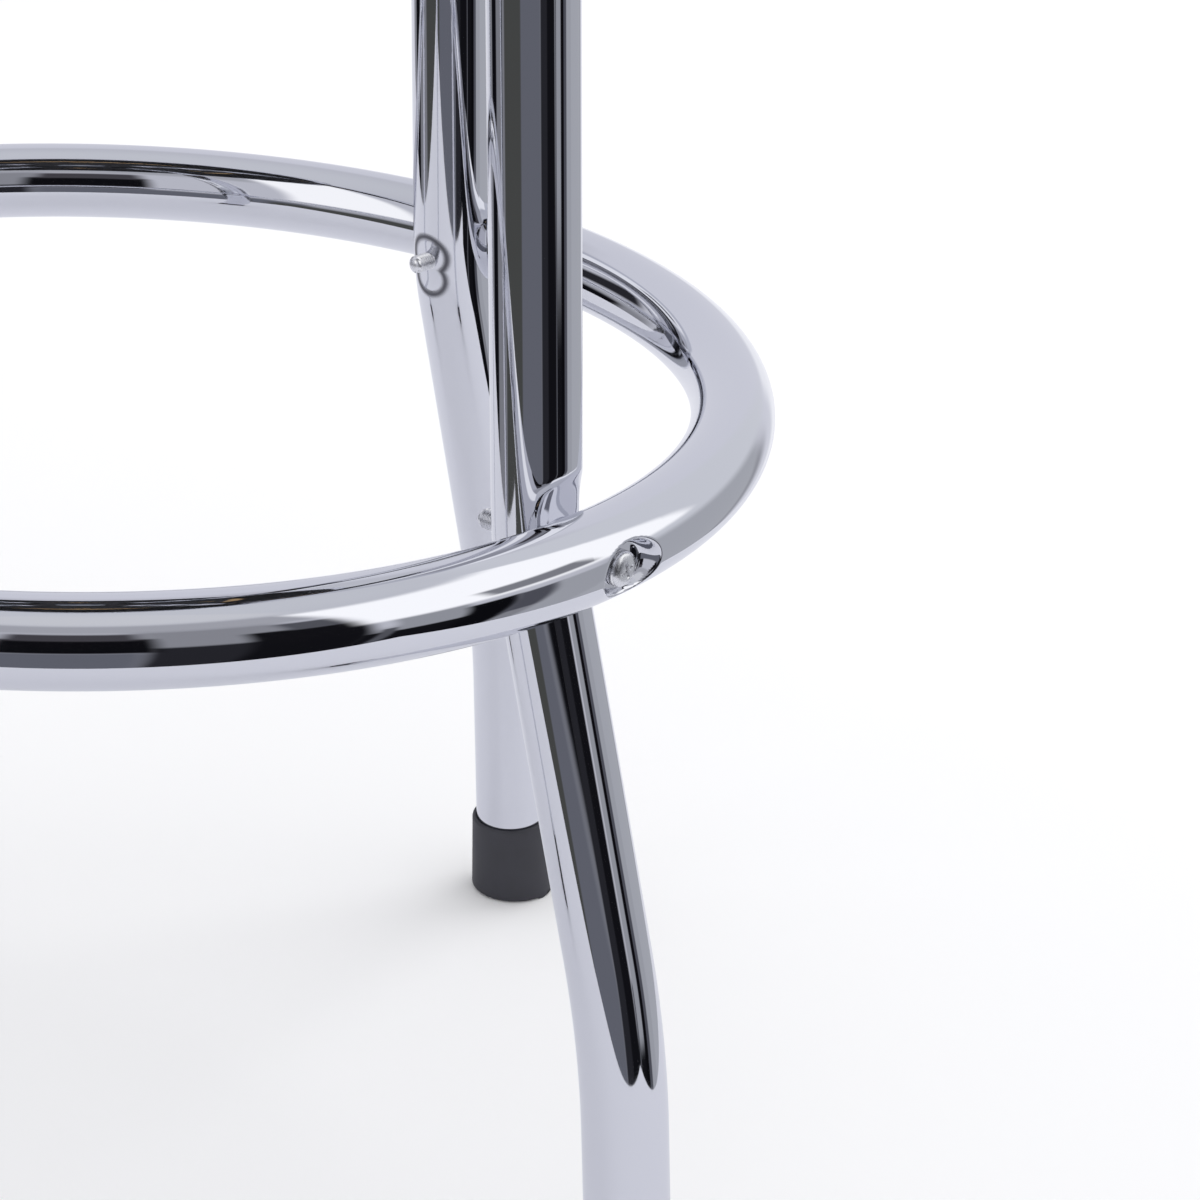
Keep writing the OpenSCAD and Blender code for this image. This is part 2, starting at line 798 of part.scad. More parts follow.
// Outline of a shallow round bead that stands out of the band's sheet
module bead() {
    bead_out = bead_w / 4;
    round_r = (pow(bead_w / 2, 2) + pow(bead_out, 2)) / 2 / bead_out;
    intersection() {
        translate([band_t + bead_out - round_r, 0]) circle(r = round_r);
        translate([band_t / 2, -bead_w]) square([bead_w, bead_w * 2]);
    }
}

module band_screws() {
    color([0.7, 0.7, 0.72])
        at_band_screws() {
            translate([0, 0, band_z - fit]) cylinder(d = band_screw_d - fit * 2, h = band_screw_len);
            translate([0, 0, band_z - fit - band_head_h])
                cylinder(d1 = band_screw_d, d2 = band_head_d, h = band_head_h);
        }
}

module dust_cover() {
    color([0.12, 0.12, 0.12])
        difference() {
            translate([0, 0, dust_z]) cylinder(r = dust_r, h = dust_t);
            translate([0, 0, dust_z - cut]) cylinder(r = dust_hole_r, h = dust_t + cut * 2);
            at_staples() staple(fit);
        }
}

module staples() {
    color([0.75, 0.75, 0.75]) at_staples() staple(0);
}

rotate([0, 0, FRONT_RIGHT]) leg();  // leg_front_right
rotate([0, 0, REAR_RIGHT]) leg();  // leg_rear_right
rotate([0, 0, REAR_LEFT]) leg();  // leg_rear_left
rotate([0, 0, FRONT_LEFT]) leg();  // leg_front_left
foot_ring();
ring_screws();
leg_nuts();
rotate([0, 0, FRONT_RIGHT]) tip();  // tip_front_right
rotate([0, 0, REAR_RIGHT]) tip();  // tip_rear_right
rotate([0, 0, REAR_LEFT]) tip();  // tip_rear_left
rotate([0, 0, FRONT_LEFT]) tip();  // tip_front_left
tip_washers();
leg_plugs();
leg_bolts();
saddle_washers();
bolt_nuts();
lower_plate();
bearing_balls();
ball_cage();
upper_plate();
king_pin();
pin_washer();
seat_screws();
tee_nuts();
seat_board();
seat_foam();
seat_cover();
seat_piping();
seat_band();
band_screws();
dust_cover();
staples();
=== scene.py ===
# %% [markdown]
# # A chrome garage stool
# The construction model is loaded first, and nothing in it is moved. Every visible piece is then
# built round it at the same size and place. The sizes below are in metres, so MM turns the
# millimetres of a workshop drawing into them.

# %% Load the construction model
import math
import random

import bmesh
import bpy
from mathutils import Matrix, Vector


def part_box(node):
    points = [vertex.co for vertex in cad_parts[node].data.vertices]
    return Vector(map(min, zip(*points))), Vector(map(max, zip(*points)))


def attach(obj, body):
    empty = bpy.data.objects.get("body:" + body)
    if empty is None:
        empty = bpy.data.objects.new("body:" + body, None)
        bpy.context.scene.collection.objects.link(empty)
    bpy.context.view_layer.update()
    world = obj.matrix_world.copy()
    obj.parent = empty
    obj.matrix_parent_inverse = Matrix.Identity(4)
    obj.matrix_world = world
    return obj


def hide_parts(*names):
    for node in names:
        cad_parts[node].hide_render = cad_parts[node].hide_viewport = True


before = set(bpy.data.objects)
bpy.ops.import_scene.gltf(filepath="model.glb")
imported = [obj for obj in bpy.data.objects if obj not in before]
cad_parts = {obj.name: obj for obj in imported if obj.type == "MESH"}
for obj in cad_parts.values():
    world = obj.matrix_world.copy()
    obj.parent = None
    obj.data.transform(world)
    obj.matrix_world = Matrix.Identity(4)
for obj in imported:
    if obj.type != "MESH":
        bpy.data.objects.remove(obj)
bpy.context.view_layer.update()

MM = 0.001

# %% [markdown]
# ## Sizes
# The foot ring's box gives the tube's radius and the ring's radius and height. The leg is one tube
# with three bends, so a few lengths and leans describe it. Leans are measured from upright.

# %% Sizes of tube, ring and leg
ring_low, ring_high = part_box("foot_ring")
tube_r = (ring_high.z - ring_low.z) / 2
ring_z = (ring_high.z + ring_low.z) / 2
ring_r = (ring_high.x - ring_low.x) / 2 - tube_r

TUBE_WALL = 1.2 * MM
SADDLE_DEPTH = 4 * MM
UPPER_LEAN = math.radians(3.9)
KICK_LEAN = math.radians(15.9)
FOOT_LEAN = math.radians(5.5)
KICK_DROP = 6 * MM
KICK_HEIGHT = 140 * MM
FOOT_BEND_R = 300 * MM
KICK_BEND_R = 120 * MM
TOP_BEND_R = 50 * MM
LEG_END_R = 46 * MM
TIP_FLOOR = 6 * MM
TIP_WASHER = 1.2 * MM
LEG_TURNS = {"front_right": -45, "rear_right": 45, "rear_left": 135, "front_left": 225}

leg_top_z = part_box("lower_plate")[0].z - tube_r
nest_gap = tube_r * 2 - SADDLE_DEPTH
leg_r_at_ring = ring_r - nest_gap / math.cos(UPPER_LEAN)
kick_z = ring_z - KICK_DROP
kick_r = leg_r_at_ring + KICK_DROP * math.tan(UPPER_LEAN)
ankle_z = kick_z - KICK_HEIGHT
ankle_r = kick_r + KICK_HEIGHT * math.tan(KICK_LEAN)
sole_r = ankle_r + ankle_z * math.tan(FOOT_LEAN)
print("ring radius", round(ring_r / MM, 1), "height", round(ring_z / MM, 1))
print("sole radius", round(sole_r / MM, 1))

# %% [markdown]
# ## Camera
# The photograph is a close crop, taken with a long lens from above the ring. Lens, place and turn
# were solved from the edges of the ring and legs. The picture is 1200 pixels wide, and the lens is
# given for a sensor 36 mm wide. The camera looks down, a little to the right, and is rolled a bit.

# %% Place the camera
PHOTO_WIDTH = 1200
FOCAL_PIXELS = 3791.9
SENSOR = 36
CAMERA_PLACE = Vector((-6.8 * MM, -1082.9 * MM, ring_z + 396.6 * MM))
CAMERA_YAW = math.radians(-8.85)
CAMERA_PITCH = math.radians(23.25)
CAMERA_ROLL = math.radians(3.38)

bpy.ops.object.select_all(action="DESELECT")
bpy.ops.object.camera_add(location=CAMERA_PLACE)
camera = bpy.context.object
camera.data.sensor_width = SENSOR
camera.data.lens = FOCAL_PIXELS / PHOTO_WIDTH * SENSOR
camera.data.clip_start = 0.05
camera.data.clip_end = 60
turn = (Matrix.Rotation(CAMERA_YAW, 3, "Z") @ Matrix.Rotation(math.pi / 2 - CAMERA_PITCH, 3, "X")
        @ Matrix.Rotation(CAMERA_ROLL, 3, "Z"))
camera.rotation_euler = turn.to_euler()
bpy.context.scene.camera = camera
print("camera with a lens of", round(camera.data.lens), "mm")

# %% [markdown]
# ## Helpers for materials
# Colours are written as sRGB hex values, as a picture editor shows them, and Blender's shaders want
# linear light. Nodes are added by one function that takes the settings and the links. A finish
# starts as one plain colour, and its patterns are then fed to the sockets of the shader.

# %% Colour and node helpers
def linear(hex_value, alpha=1.0):
    """An sRGB hex value such as "#3A3A42" as linear red, green, blue and alpha."""
    parts = [int(hex_value[i:i + 2], 16) / 255 for i in (1, 3, 5)]
    return [c / 12.92 if c <= 0.04045 else ((c + 0.055) / 1.055) ** 2.4 for c in parts] + [alpha]


def feed(made, inputs):
    """Sets inputs, by name or number, to a value, to an output, or to a node's first output."""
    for name, value in inputs.items():
        if isinstance(value, bpy.types.Node):
            value = value.outputs[0]
        if isinstance(value, bpy.types.NodeSocket):
            made.id_data.links.new(value, made.inputs[name])
        else:
            made.inputs[name].default_value = value


def node(tree, kind, settings=None, inputs=None):
    """Adds a node with its settings, and feeds its inputs."""
    made = tree.nodes.new("ShaderNode" + kind)
    for name, value in (settings or {}).items():
        setattr(made, name, value)
    feed(made, inputs or {})
    return made


def plain(name, colour, roughness, metallic=0):
    """A material of one colour, without a pattern."""
    made = bpy.data.materials.new(name)
    made.use_nodes = True
    shader = made.node_tree.nodes["Principled BSDF"]
    feed(shader, {"Base Color": linear(colour), "Roughness": roughness, "Metallic": metallic})
    return made


def opened(made):
    """A material's nodes, its shader, and the place on the piece that its patterns follow."""
    tree = made.node_tree
    return tree, tree.nodes["Principled BSDF"], node(tree, "TexCoord").outputs["Object"]


# %% [markdown]
# ## Studio
# Chrome has no colour of its own: it shows the room it stands in. Its reflections suggest a white
# table in a pale room, with a soft box at the right and darker things behind the camera. A room
# that gives such reflections is laid out as a list of flat cards, as a photographer would set them
# up. Each is given by how far round it stands from the camera's side and how high, in degrees.

# %% Lay out the room's cards
# Name, from and to round the stool (right is positive), from and to in height, soft edge, colour,
# brightness. A later card hangs in front of an earlier one.
ROOM_CARDS = [
    ("pale wall behind", 140, 220, -60, 42, 10, "#DEDFE8", 1),
    ("window in the wall", 150, 176, -40, 2, 7, "#F4F5FA", 1.05),
    ("grey wall on the right", 88, 136, -60, 8, 6, "#B4B6BC", 1),
    ("light wall on the right", 96, 150, 4, 58, 10, "#DCDEE4", 1),
    ("pale ceiling", -40, 50, 60, 84, 12, "#DCDDE1", 1),
    ("grey ceiling", -40, 44, 41, 58, 7, "#B2B3B9", 1),
    ("grey wall in front", 8, 34, 2, 42, 8, "#94959B", 1),
    ("low dark wall", 9, 34, -60, 5, 5, "#2A2A2F", 1),
    ("doorway", 25, 44, -60, 24, 4, "#141418", 1),
    ("lintel", 32, 43, 22, 38, 4, "#5A5B61", 1),
    ("shelf edge", 42, 62, -34, -11, 3, "#151519", 1),
    ("door jamb", 48, 61, -12, 12, 3, "#A0A2A8", 1),
    ("jamb low down", 45.5, 48, -30, -5, 1.5, "#5A5B61", 1),
    ("cupboard", 60, 70, -34, 5, 3, "#0E0E12", 1),
    ("cupboard side", 69, 78, -24, 4, 3, "#55565E", 1),
    ("wall by the cupboard", 77, 92, -60, 4, 4, "#ABADB3", 1),
    ("large soft box", 43, 112, 12, 56, 6, "#FFFFFF", 1.25),
    ("lamp in the soft box", 66, 88, 15, 27, 4, "#8A8B91", 1),
    ("camera and tripod", -14, 11, -5, 27, 4, "#101014", 1),
    ("dark curtain", -13, 9, 24, 39, 5, "#4A484D", 1),
    ("grey cloth", -46, 9, -60, -5, 5, "#6A6C75", 1),
    ("white card", -70, -42, 2, 60, 5, "#FFFFFF", 1.2),
    ("olive curtain", -96, -38, -26, -9, 4, "#4C4D4B", 1),
    ("gap in the curtain", -108, -82, -26, -9, 4, "#85868C", 1),
    ("shelf on the left", -133, -106, 3, 17, 5, "#2A2A2F", 1),
    ("post on the left", -127, -109, -24, -9, 5, "#101015", 1),
]
ROOM_FLOOR, ROOM_MIDDLE, ROOM_TOP = "#8E8F95", "#CDCED6", "#D6D8DE"
PLAIN_LIGHT = "#FBFBFC"
print(len(ROOM_CARDS), "cards in the room")


# %% [markdown]
# The room is only seen in reflections. The camera and the soft light on matt surfaces get one
# plain pale colour instead, so that the background stays clean from every side.

# %% Build the room as a world
def inside(tree, value, low, high, edge):
    """One where value lies between low and high, nought outside, with a soft edge."""
    middle, half = (low + high) / 2, (high - low) / 2
    off = node(tree, "Math", {"operation": "WRAP"}, {0: value, 1: middle - 180, 2: middle + 180})
    off = node(tree, "Math", {"operation": "SUBTRACT"}, {0: off, 1: middle})
    off = node(tree, "Math", {"operation": "ABSOLUTE"}, {0: off})
    shade = node(tree, "MapRange", {"interpolation_type": "SMOOTHSTEP"},
                 {0: off, 1: half - edge / 2, 2: half + edge / 2, 3: 1, 4: 0})
    return shade


def hang(tree, under, share, colour, brightness):
    """Lays a card of one colour over what is behind it."""
    tint = [c * brightness for c in linear(colour)[:3]] + [1]
    mixed = node(tree, "Mix", {"data_type": "RGBA"}, {0: share, 6: under, 7: tint})
    return mixed.outputs[2]


def build_room():
    world = bpy.data.worlds.new("pale_room")
    bpy.context.scene.world = world
    world.use_nodes = True
    tree = world.node_tree
    tree.nodes.clear()
    to_degrees = math.degrees(1)
    way = node(tree, "TexCoord")
    split = node(tree, "SeparateXYZ", inputs={0: way.outputs["Generated"]})
    back = node(tree, "Math", {"operation": "MULTIPLY"}, {0: split.outputs[1], 1: -1})
    around = node(tree, "Math", {"operation": "ARCTAN2"}, {0: split.outputs[0], 1: back})
    around = node(tree, "Math", {"operation": "MULTIPLY"}, {0: around, 1: to_degrees})
    height = node(tree, "Math", {"operation": "ARCSINE"}, {0: split.outputs[2]})
    height = node(tree, "Math", {"operation": "MULTIPLY"}, {0: height, 1: to_degrees})
    above = node(tree, "MapRange", {"interpolation_type": "SMOOTHSTEP"}, {0: height, 1: -12, 2: 2})
    top = node(tree, "MapRange", {"interpolation_type": "SMOOTHSTEP"}, {0: height, 1: 40, 2: 75})
    seen = hang(tree, linear(ROOM_FLOOR), above, ROOM_MIDDLE, 1)
    seen = hang(tree, seen, top, ROOM_TOP, 1)
    for name, left, right, low, high, edge, colour, brightness in ROOM_CARDS:
        wide, tall = inside(tree, around, left, right, edge), inside(tree, height, low, high, edge)
        share = node(tree, "Math", {"operation": "MULTIPLY"}, {0: wide, 1: tall})
        seen = hang(tree, seen, share, colour, brightness)
    room = node(tree, "Background", inputs={"Color": seen})
    plain_light = node(tree, "Background", inputs={"Color": linear(PLAIN_LIGHT), "Strength": 1.0})
    mirrored = node(tree, "LightPath").outputs["Is Glossy Ray"]
    both = node(tree, "MixShader", inputs={0: mirrored, 1: plain_light, 2: room})
    node(tree, "OutputWorld", inputs={0: both})


build_room()
bpy.context.scene.view_settings.view_transform = "Standard"
print("the room has", len(bpy.context.scene.world.node_tree.nodes), "nodes")

# %% [markdown]
# The floor is wide and pale. The reflections look as if the table top ended a little in front of
# the stool and beside it, with the dark parts of the room beyond. So the wide floor is left out of
# the reflections, and a smaller table top is seen in them alone.

# %% Add floor, table top and lamp
def flat_stage(name, low, high, z, material):
    bpy.ops.object.select_all(action="DESELECT")
    middle = ((low[0] + high[0]) / 2, (low[1] + high[1]) / 2, z)
    bpy.ops.mesh.primitive_plane_add(size=1, location=middle)
    made = bpy.context.object
    made.name = name
    made.scale = (high[0] - low[0], high[1] - low[1], 1)
    bpy.ops.object.transform_apply(location=True, scale=True)
    made.data.materials.append(material)
    return made


white_floor = plain("white_floor", "#FAFAFB", 0.9)
white_floor.node_tree.nodes["Principled BSDF"].inputs["Specular IOR Level"].default_value = 0.1
floor = flat_stage("floor", (-20, -20), (20, 20), -0.2 * MM, white_floor)
floor.visible_glossy = False
white_table = plain("white_table", "#E4E5EC", 0.9)
table_top = flat_stage("table_top", (-0.54, -0.5), (0.47, 3), -0.1 * MM, white_table)
table_top.visible_camera = False
table_top.visible_diffuse = False
table_top.visible_shadow = False

bpy.ops.object.light_add(type="AREA", location=(1.4, 0.9, 1.9))
lamp = bpy.context.object
lamp.data.size = 1.2
lamp.data.energy = 9
lamp.rotation_euler = (-lamp.location).to_track_quat("-Z", "Y").to_euler()
lamp.visible_glossy = False
print("floor, table top and a lamp", round(lamp.location.length, 1), "m away")

# %% [markdown]
# ## Chrome plate
# Legs, ring and band are steel tube and sheet, polished and plated with nickel and chrome. The
# plate is a mirror with a slight blue-grey tint. Polishing leaves long, shallow waves that bend
# the reflections a little, and fine hairlines that soften them.

# %% Chrome plate on polished tube
HAIRLINE = 2 * MM


def chrome_plate(name, colour, roughness, wave_size, wave_depth):
    """A plated mirror. wave_size is the width of the polishing waves, wave_depth their height."""
    made = plain(name, colour, roughness, 1)
    tree, shader, place = opened(made)
    waves = node(tree, "TexNoise", inputs={"Vector": place, "Scale": 1 / wave_size, "Detail": 1})
    bump = node(tree, "Bump", inputs={"Height": waves, "Distance": wave_depth, "Strength": 1})
    hair = node(tree, "TexNoise", inputs={"Vector": place, "Scale": 1 / HAIRLINE, "Detail": 3})
    rough = node(tree, "MapRange", inputs={0: hair, 3: roughness * 0.6, 4: roughness * 1.6})
    feed(shader, {"Roughness": rough, "Normal": bump})
    return made


TUBE_PLATE = ("#DFE0E6", 0.03, 12 * MM, 0.003 * MM)
tube_chrome = chrome_plate("chrome_plated_tube", *TUBE_PLATE)
print("finish:", tube_chrome.name)

# %% [markdown]
# ## Legs
# Each leg is one straight length of tube that went through a bender. The same is done here: a
# circle of edges is pushed straight on, then spun round the middle of each bend. The stretch at the
# ring gets finer steps, because the saddle and the marks are pressed into it.

# %% Helpers that select a piece and open it
def pick(piece):
    """Makes one piece the only one selected, and the active one."""
    bpy.ops.object.select_all(action="DESELECT")
    piece.select_set(True)
    bpy.context.view_layer.objects.active = piece


def edit_all(piece):
    """Opens one piece in edit mode, with all of it selected."""
    pick(piece)
    bpy.ops.object.mode_set(mode="EDIT")
    bpy.ops.mesh.select_all(action="SELECT")


# %% Bend one leg
def push(run, length, steps):
    """Pushes the selected end of the tube straight on, in equal steps."""
    for _ in range(steps):
        bpy.ops.mesh.extrude_region_move(TRANSFORM_OT_translate={"value": run["along"] * length / steps})
    run["at"] = run["at"] + run["along"] * length


def bend(run, angle, radius, steps):
    """Spins the selected end round a bend in the plane y = 0. A positive angle leans it outwards.

    Blender's spin counts its angle the other way round from a rotation matrix.
    """
    side = 1 if angle > 0 else -1
    middle = run["at"] + Vector((run["along"].z, 0, -run["along"].x)) * radius * side
    bpy.ops.mesh.spin(steps=steps, angle=-angle, center=middle, axis=(0, 1, 0))
    turned = Matrix.Rotation(angle, 3, "Y")
    run["at"] = middle + turned @ (run["at"] - middle)
    run["along"] = turned @ run["along"]


def along_lean(lean):
    return Vector((-math.sin(lean), 0, math.cos(lean)))


LEG_SIDES = 128
FINE_RUN = 60 * MM
tube_end = TIP_FLOOR + TIP_WASHER
foot = Vector((sole_r, 0, 0)) + along_lean(FOOT_LEAN) * tube_end
ankle = Vector((ankle_r, 0, ankle_z))
kick = Vector((kick_r, 0, kick_z))
corner_r = leg_r_at_ring - (leg_top_z - ring_z) * math.tan(UPPER_LEAN)
corner = Vector((corner_r, 0, leg_top_z))
leg_end = Vector((LEG_END_R, 0, leg_top_z))


def bent_leg():
    turns = [KICK_LEAN - FOOT_LEAN, KICK_LEAN - UPPER_LEAN, math.pi / 2 - UPPER_LEAN]
    bends = zip((FOOT_BEND_R, KICK_BEND_R, TOP_BEND_R), turns)
    reach = [radius * math.tan(turn / 2) for radius, turn in bends]
    bpy.ops.object.select_all(action="DESELECT")
    bpy.ops.mesh.primitive_circle_add(
        vertices=LEG_SIDES, radius=tube_r, location=foot, rotation=(0, -FOOT_LEAN, 0))
    leg = bpy.context.object
    bpy.ops.object.transform_apply(location=True, rotation=True)
    edit_all(leg)
    run = {"at": foot, "along": along_lean(FOOT_LEAN)}
    push(run, (ankle - foot).length - reach[0], 4)
    bend(run, -turns[0], FOOT_BEND_R, 12)
    push(run, (kick - ankle).length - reach[0] - reach[1], 12)
    bend(run, turns[1], KICK_BEND_R, 48)
    push(run, FINE_RUN, 90)
    push(run, (corner - kick).length - reach[1] - reach[2] - FINE_RUN, 8)
    bend(run, -turns[2], TOP_BEND_R, 48)
    push(run, (leg_end - corner).length - reach[2], 4)
    bpy.ops.object.mode_set(mode="OBJECT")
    print("the leg ends", round((run["at"] - leg_end).length / MM, 4), "mm from where it should")
    return leg


# %% [markdown]
# Before plating, the leg is put over a die and struck, so that the ring nests in a saddle. The wall
# is pushed in where the ring lies. It draws in over a long way above the ring and a short way below.

# %% Press the saddle
SADDLE_ABOVE = 19 * MM
SADDLE_BELOW = 11 * MM
SADDLE_POWER = 4.5
SADDLE_SOFT = TUBE_WALL * 3.5
SADDLE_FIT = 0.1 * MM
press_out = Vector((math.cos(UPPER_LEAN), 0, math.sin(UPPER_LEAN)))
press_up = Vector((-math.sin(UPPER_LEAN), 0, math.cos(UPPER_LEAN)))
ring_middle = Vector((ring_r, 0, ring_z))


def soft_min(a, b, soft):
    """The lower of two values, with the corner between them rounded over."""
    near = max(soft - abs(a - b), 0) / soft
    return min(a, b) - near * near * soft / 4


def press_saddle(leg):
    """Pushes the wall in under a die, and bends the bottom of the saddle along the ring."""
    for point in leg.data.vertices:
        from_ring = point.co - ring_middle
        out, up = from_ring.dot(press_out), from_ring.dot(press_up)
        if abs(up) < SADDLE_ABOVE * 2:
            reach = SADDLE_ABOVE if up > 0 else SADDLE_BELOW
            curve = ring_r - math.sqrt(ring_r ** 2 - point.co.y ** 2)
            limit = SADDLE_DEPTH * (abs(up) / reach) ** SADDLE_POWER - tube_r - SADDLE_FIT - curve
            point.co += press_out * (soft_min(out, limit, SADDLE_SOFT) - out)


# %% [markdown]
# On the inner side the photograph shows two dark round outlines, one above the other, and the upper
# one goes round the end of the screw. What made them isn't known. Here they are taken for marks of
# a punch, which pushed the skin in a little. Along their edge the plate is rougher, and a grey painted shade
# lies there.

# %% Punch the two marks on the inner side
SCREW_DROP = 1.3 * MM
MARK_DEPTH = 0.8 * MM
# Height over the ring's middle, and radius
MARKS = [(0.6 * MM, 6.7 * MM), (-7.3 * MM, 5.9 * MM)]
INNER_SIDE = -0.4


def mark_depth(point):
    """How deep the punch goes at a point of the leg's skin, nought away from the marks."""
    if point.x > leg_r_at_ring:
        return 0
    share = 0
    for height, r in MARKS:
        off = math.hypot(point.y, point.z - ring_z - height)
        share = max(share, 1 - (off / r) ** 2)
    return share * MARK_DEPTH


def punch_marks(leg):
    for point in leg.data.vertices:
        if point.normal.x < INNER_SIDE:
            point.co -= point.normal * mark_depth(point.co)


# %% Paint grey shade along the marks' edge
# Colour, roughness and half width of the grey painted shade along the edge of the marks.
MARK_SHADE, MARK_SHADE_ROUGHNESS, MARK_SHADE_HALF = "#6C6C72", 0.4, 1.9 * MM


def with_painted_mark_shade(made):
    """Paints a grey shade along the edge of the marks and makes the plate rougher there, on the side of each
    leg that faces the axis.
    """
    tree, shader, place = opened(made)
    split = node(tree, "SeparateXYZ", inputs={0: place})
    x = node(tree, "Math", {"operation": "ABSOLUTE"}, {0: split.outputs[0]})
    y = node(tree, "Math", {"operation": "ABSOLUTE"}, {0: split.outputs[1]})
    across = node(tree, "Math", {"operation": "SUBTRACT"}, {0: x, 1: y})
    across = node(tree, "Math", {"operation": "MULTIPLY"}, {0: across, 1: math.sqrt(0.5)})
    outwards = node(tree, "Math", {"operation": "ADD"}, {0: x, 1: y})
    inner = node(tree, "Math", {"operation": "LESS_THAN"},
                 {0: outwards, 1: leg_r_at_ring * math.sqrt(2)})
    outside = 1.0
    for height, r in MARKS:
        up = node(tree, "Math", {"operation": "SUBTRACT"}, {0: split.outputs[2], 1: ring_z + height})
        flat = node(tree, "CombineXYZ", inputs={0: across, 1: up})
        off = node(tree, "VectorMath", {"operation": "LENGTH"}, {0: flat})
        beyond = node(tree, "Math", {"operation": "SUBTRACT"}, {0: off.outputs["Value"], 1: r})
        outside = node(tree, "Math", {"operation": "MINIMUM"}, {0: beyond, 1: outside})
    off_edge = node(tree, "Math", {"operation": "ABSOLUTE"}, {0: outside})
    edge = node(tree, "MapRange", {"interpolation_type": "SMOOTHSTEP"},
                {0: off_edge, 1: 0, 2: MARK_SHADE_HALF, 3: 1, 4: 0})
    edge = node(tree, "Math", {"operation": "MULTIPLY"}, {0: edge, 1: inner})
    plate = list(shader.inputs["Base Color"].default_value)
    # The plate's colour is mixed with the grey painted shade along the edge of the marks.
    tint = node(tree, "Mix", {"data_type": "RGBA"}, {0: edge, 6: plate, 7: linear(MARK_SHADE)})
    polish = shader.inputs["Roughness"].links[0].from_socket
    rough = node(tree, "Mix", inputs={0: edge, 2: polish, 3: MARK_SHADE_ROUGHNESS})
    feed(shader, {"Base Color": tint.outputs[2], "Roughness": rough})
    return made


# %% [markdown]
# The bent tube is only a skin so far. It gets its wall on the inside, and then each leg is a copy
# with its own mesh, turned to its place round the stool. Later pieces use the same helpers.

# %% Helpers that finish and copy a piece
def finish_shell(piece, wall):
    """Gives a skin its wall on the inside and smooths its shading."""
    pick(piece)
    solid = piece.modifiers.new("wall", "SOLIDIFY")
    solid.thickness = wall
    solid.offset = -1
    bpy.ops.object.modifier_apply(modifier="wall")
    bpy.ops.object.shade_smooth_by_angle(angle=math.radians(40))


def outward_normals(piece):
    """Merges doubled points and turns all faces outwards."""
    edit_all(piece)
    bpy.ops.mesh.remove_doubles(threshold=0.005 * MM)
    bpy.ops.mesh.normals_make_consistent(inside=False)
    bpy.ops.object.mode_set(mode="OBJECT")


def copy_turned(pattern, name, degrees):
    """A copy with its own mesh, turned about the stool's axis, with its place in its mesh."""
    made = pattern.copy()
    made.data = pattern.data.copy()
    made.name = name
    made.data.name = name
    made.data.transform(Matrix.Rotation(math.radians(degrees), 4, "Z"))
    bpy.context.scene.collection.objects.link(made)
    return made


# %% Make the four legs
leg_pattern = bent_leg()
press_saddle(leg_pattern)
outward_normals(leg_pattern)
punch_marks(leg_pattern)
finish_shell(leg_pattern, TUBE_WALL)
# The legs' plate carries the grey painted shade along the edge of the marks.
leg_pattern.data.materials.append(with_painted_mark_shade(chrome_plate("chrome_plated_leg", *TUBE_PLATE)))

for where, degrees in LEG_TURNS.items():
    leg = copy_turned(leg_pattern, "bent_leg_" + where, degrees)
    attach(leg, "frame")
    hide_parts("leg_" + where)
print("one leg has", len(leg_pattern.data.polygons), "faces")
bpy.data.objects.remove(leg_pattern)

# %% [markdown]
# ## Foot ring
# The ring is rolled from the same tube and welded shut. A punch then draws an oval pocket at each
# leg, so that the screw head sits below the surface. Here a circle is spun round the stool's axis,
# in fine steps where a pocket comes, and the pocket is drawn into those fine faces.

# %% Roll the ring and draw its pockets
RING_SIDES = 136
POCKET_DEPTH = 6 * MM
POCKET_ALONG, POCKET_ACROSS = 10.2 * MM, 7 * MM
POCKET_WALL = 3.2
POCKET_CORNER = 0.12
POCKET_SPAN = math.radians(9)
POCKET_SOFT = 2.4 * MM
pocket_floor = tube_r - POCKET_DEPTH
screw_start = ring_middle - Vector((0, 0, SCREW_DROP))


def rolled_ring():
    bpy.ops.object.select_all(action="DESELECT")
    bpy.ops.mesh.primitive_circle_add(
        vertices=RING_SIDES, radius=tube_r, location=(ring_r, 0, ring_z), rotation=(math.pi / 2, 0, 0))
    ring = bpy.context.object
    bpy.ops.object.transform_apply(location=True, rotation=True)
    ring.data.transform(Matrix.Rotation(math.radians(45) - POCKET_SPAN / 2, 4, "Z"))
    edit_all(ring)
    for _ in range(4):
        bpy.ops.mesh.spin(steps=72, angle=-POCKET_SPAN, center=(0, 0, ring_z), axis=(0, 0, 1))
        bpy.ops.mesh.spin(steps=60, angle=POCKET_SPAN - math.pi / 2, center=(0, 0, ring_z), axis=(0, 0, 1))
    bpy.ops.object.mode_set(mode="OBJECT")
    return ring


def pocket_height(along, across):
    """How far out the skin may stand, by the distance from the screw along and across the ring."""
    beyond = math.hypot(along / POCKET_ALONG, across / POCKET_ACROSS) - 1
    rounded = max(beyond + POCKET_CORNER, 0)
    if beyond < POCKET_CORNER:
        beyond = rounded * rounded / 4 / POCKET_CORNER
    return pocket_floor + beyond * POCKET_WALL * (POCKET_ALONG + POCKET_ACROSS) / 2


def draw_pockets(ring):
    for degrees in LEG_TURNS.values():
        back = Matrix.Rotation(math.radians(-degrees), 3, "Z")
        out_line = back.inverted() @ Vector((1, 0, 0))
        for point in ring.data.vertices:
            off = back @ point.co - screw_start
            if off.x > 0 and abs(off.y) < 2 * tube_r:
                point.co += out_line * (soft_min(off.x, pocket_height(off.y, off.z), POCKET_SOFT) - off.x)


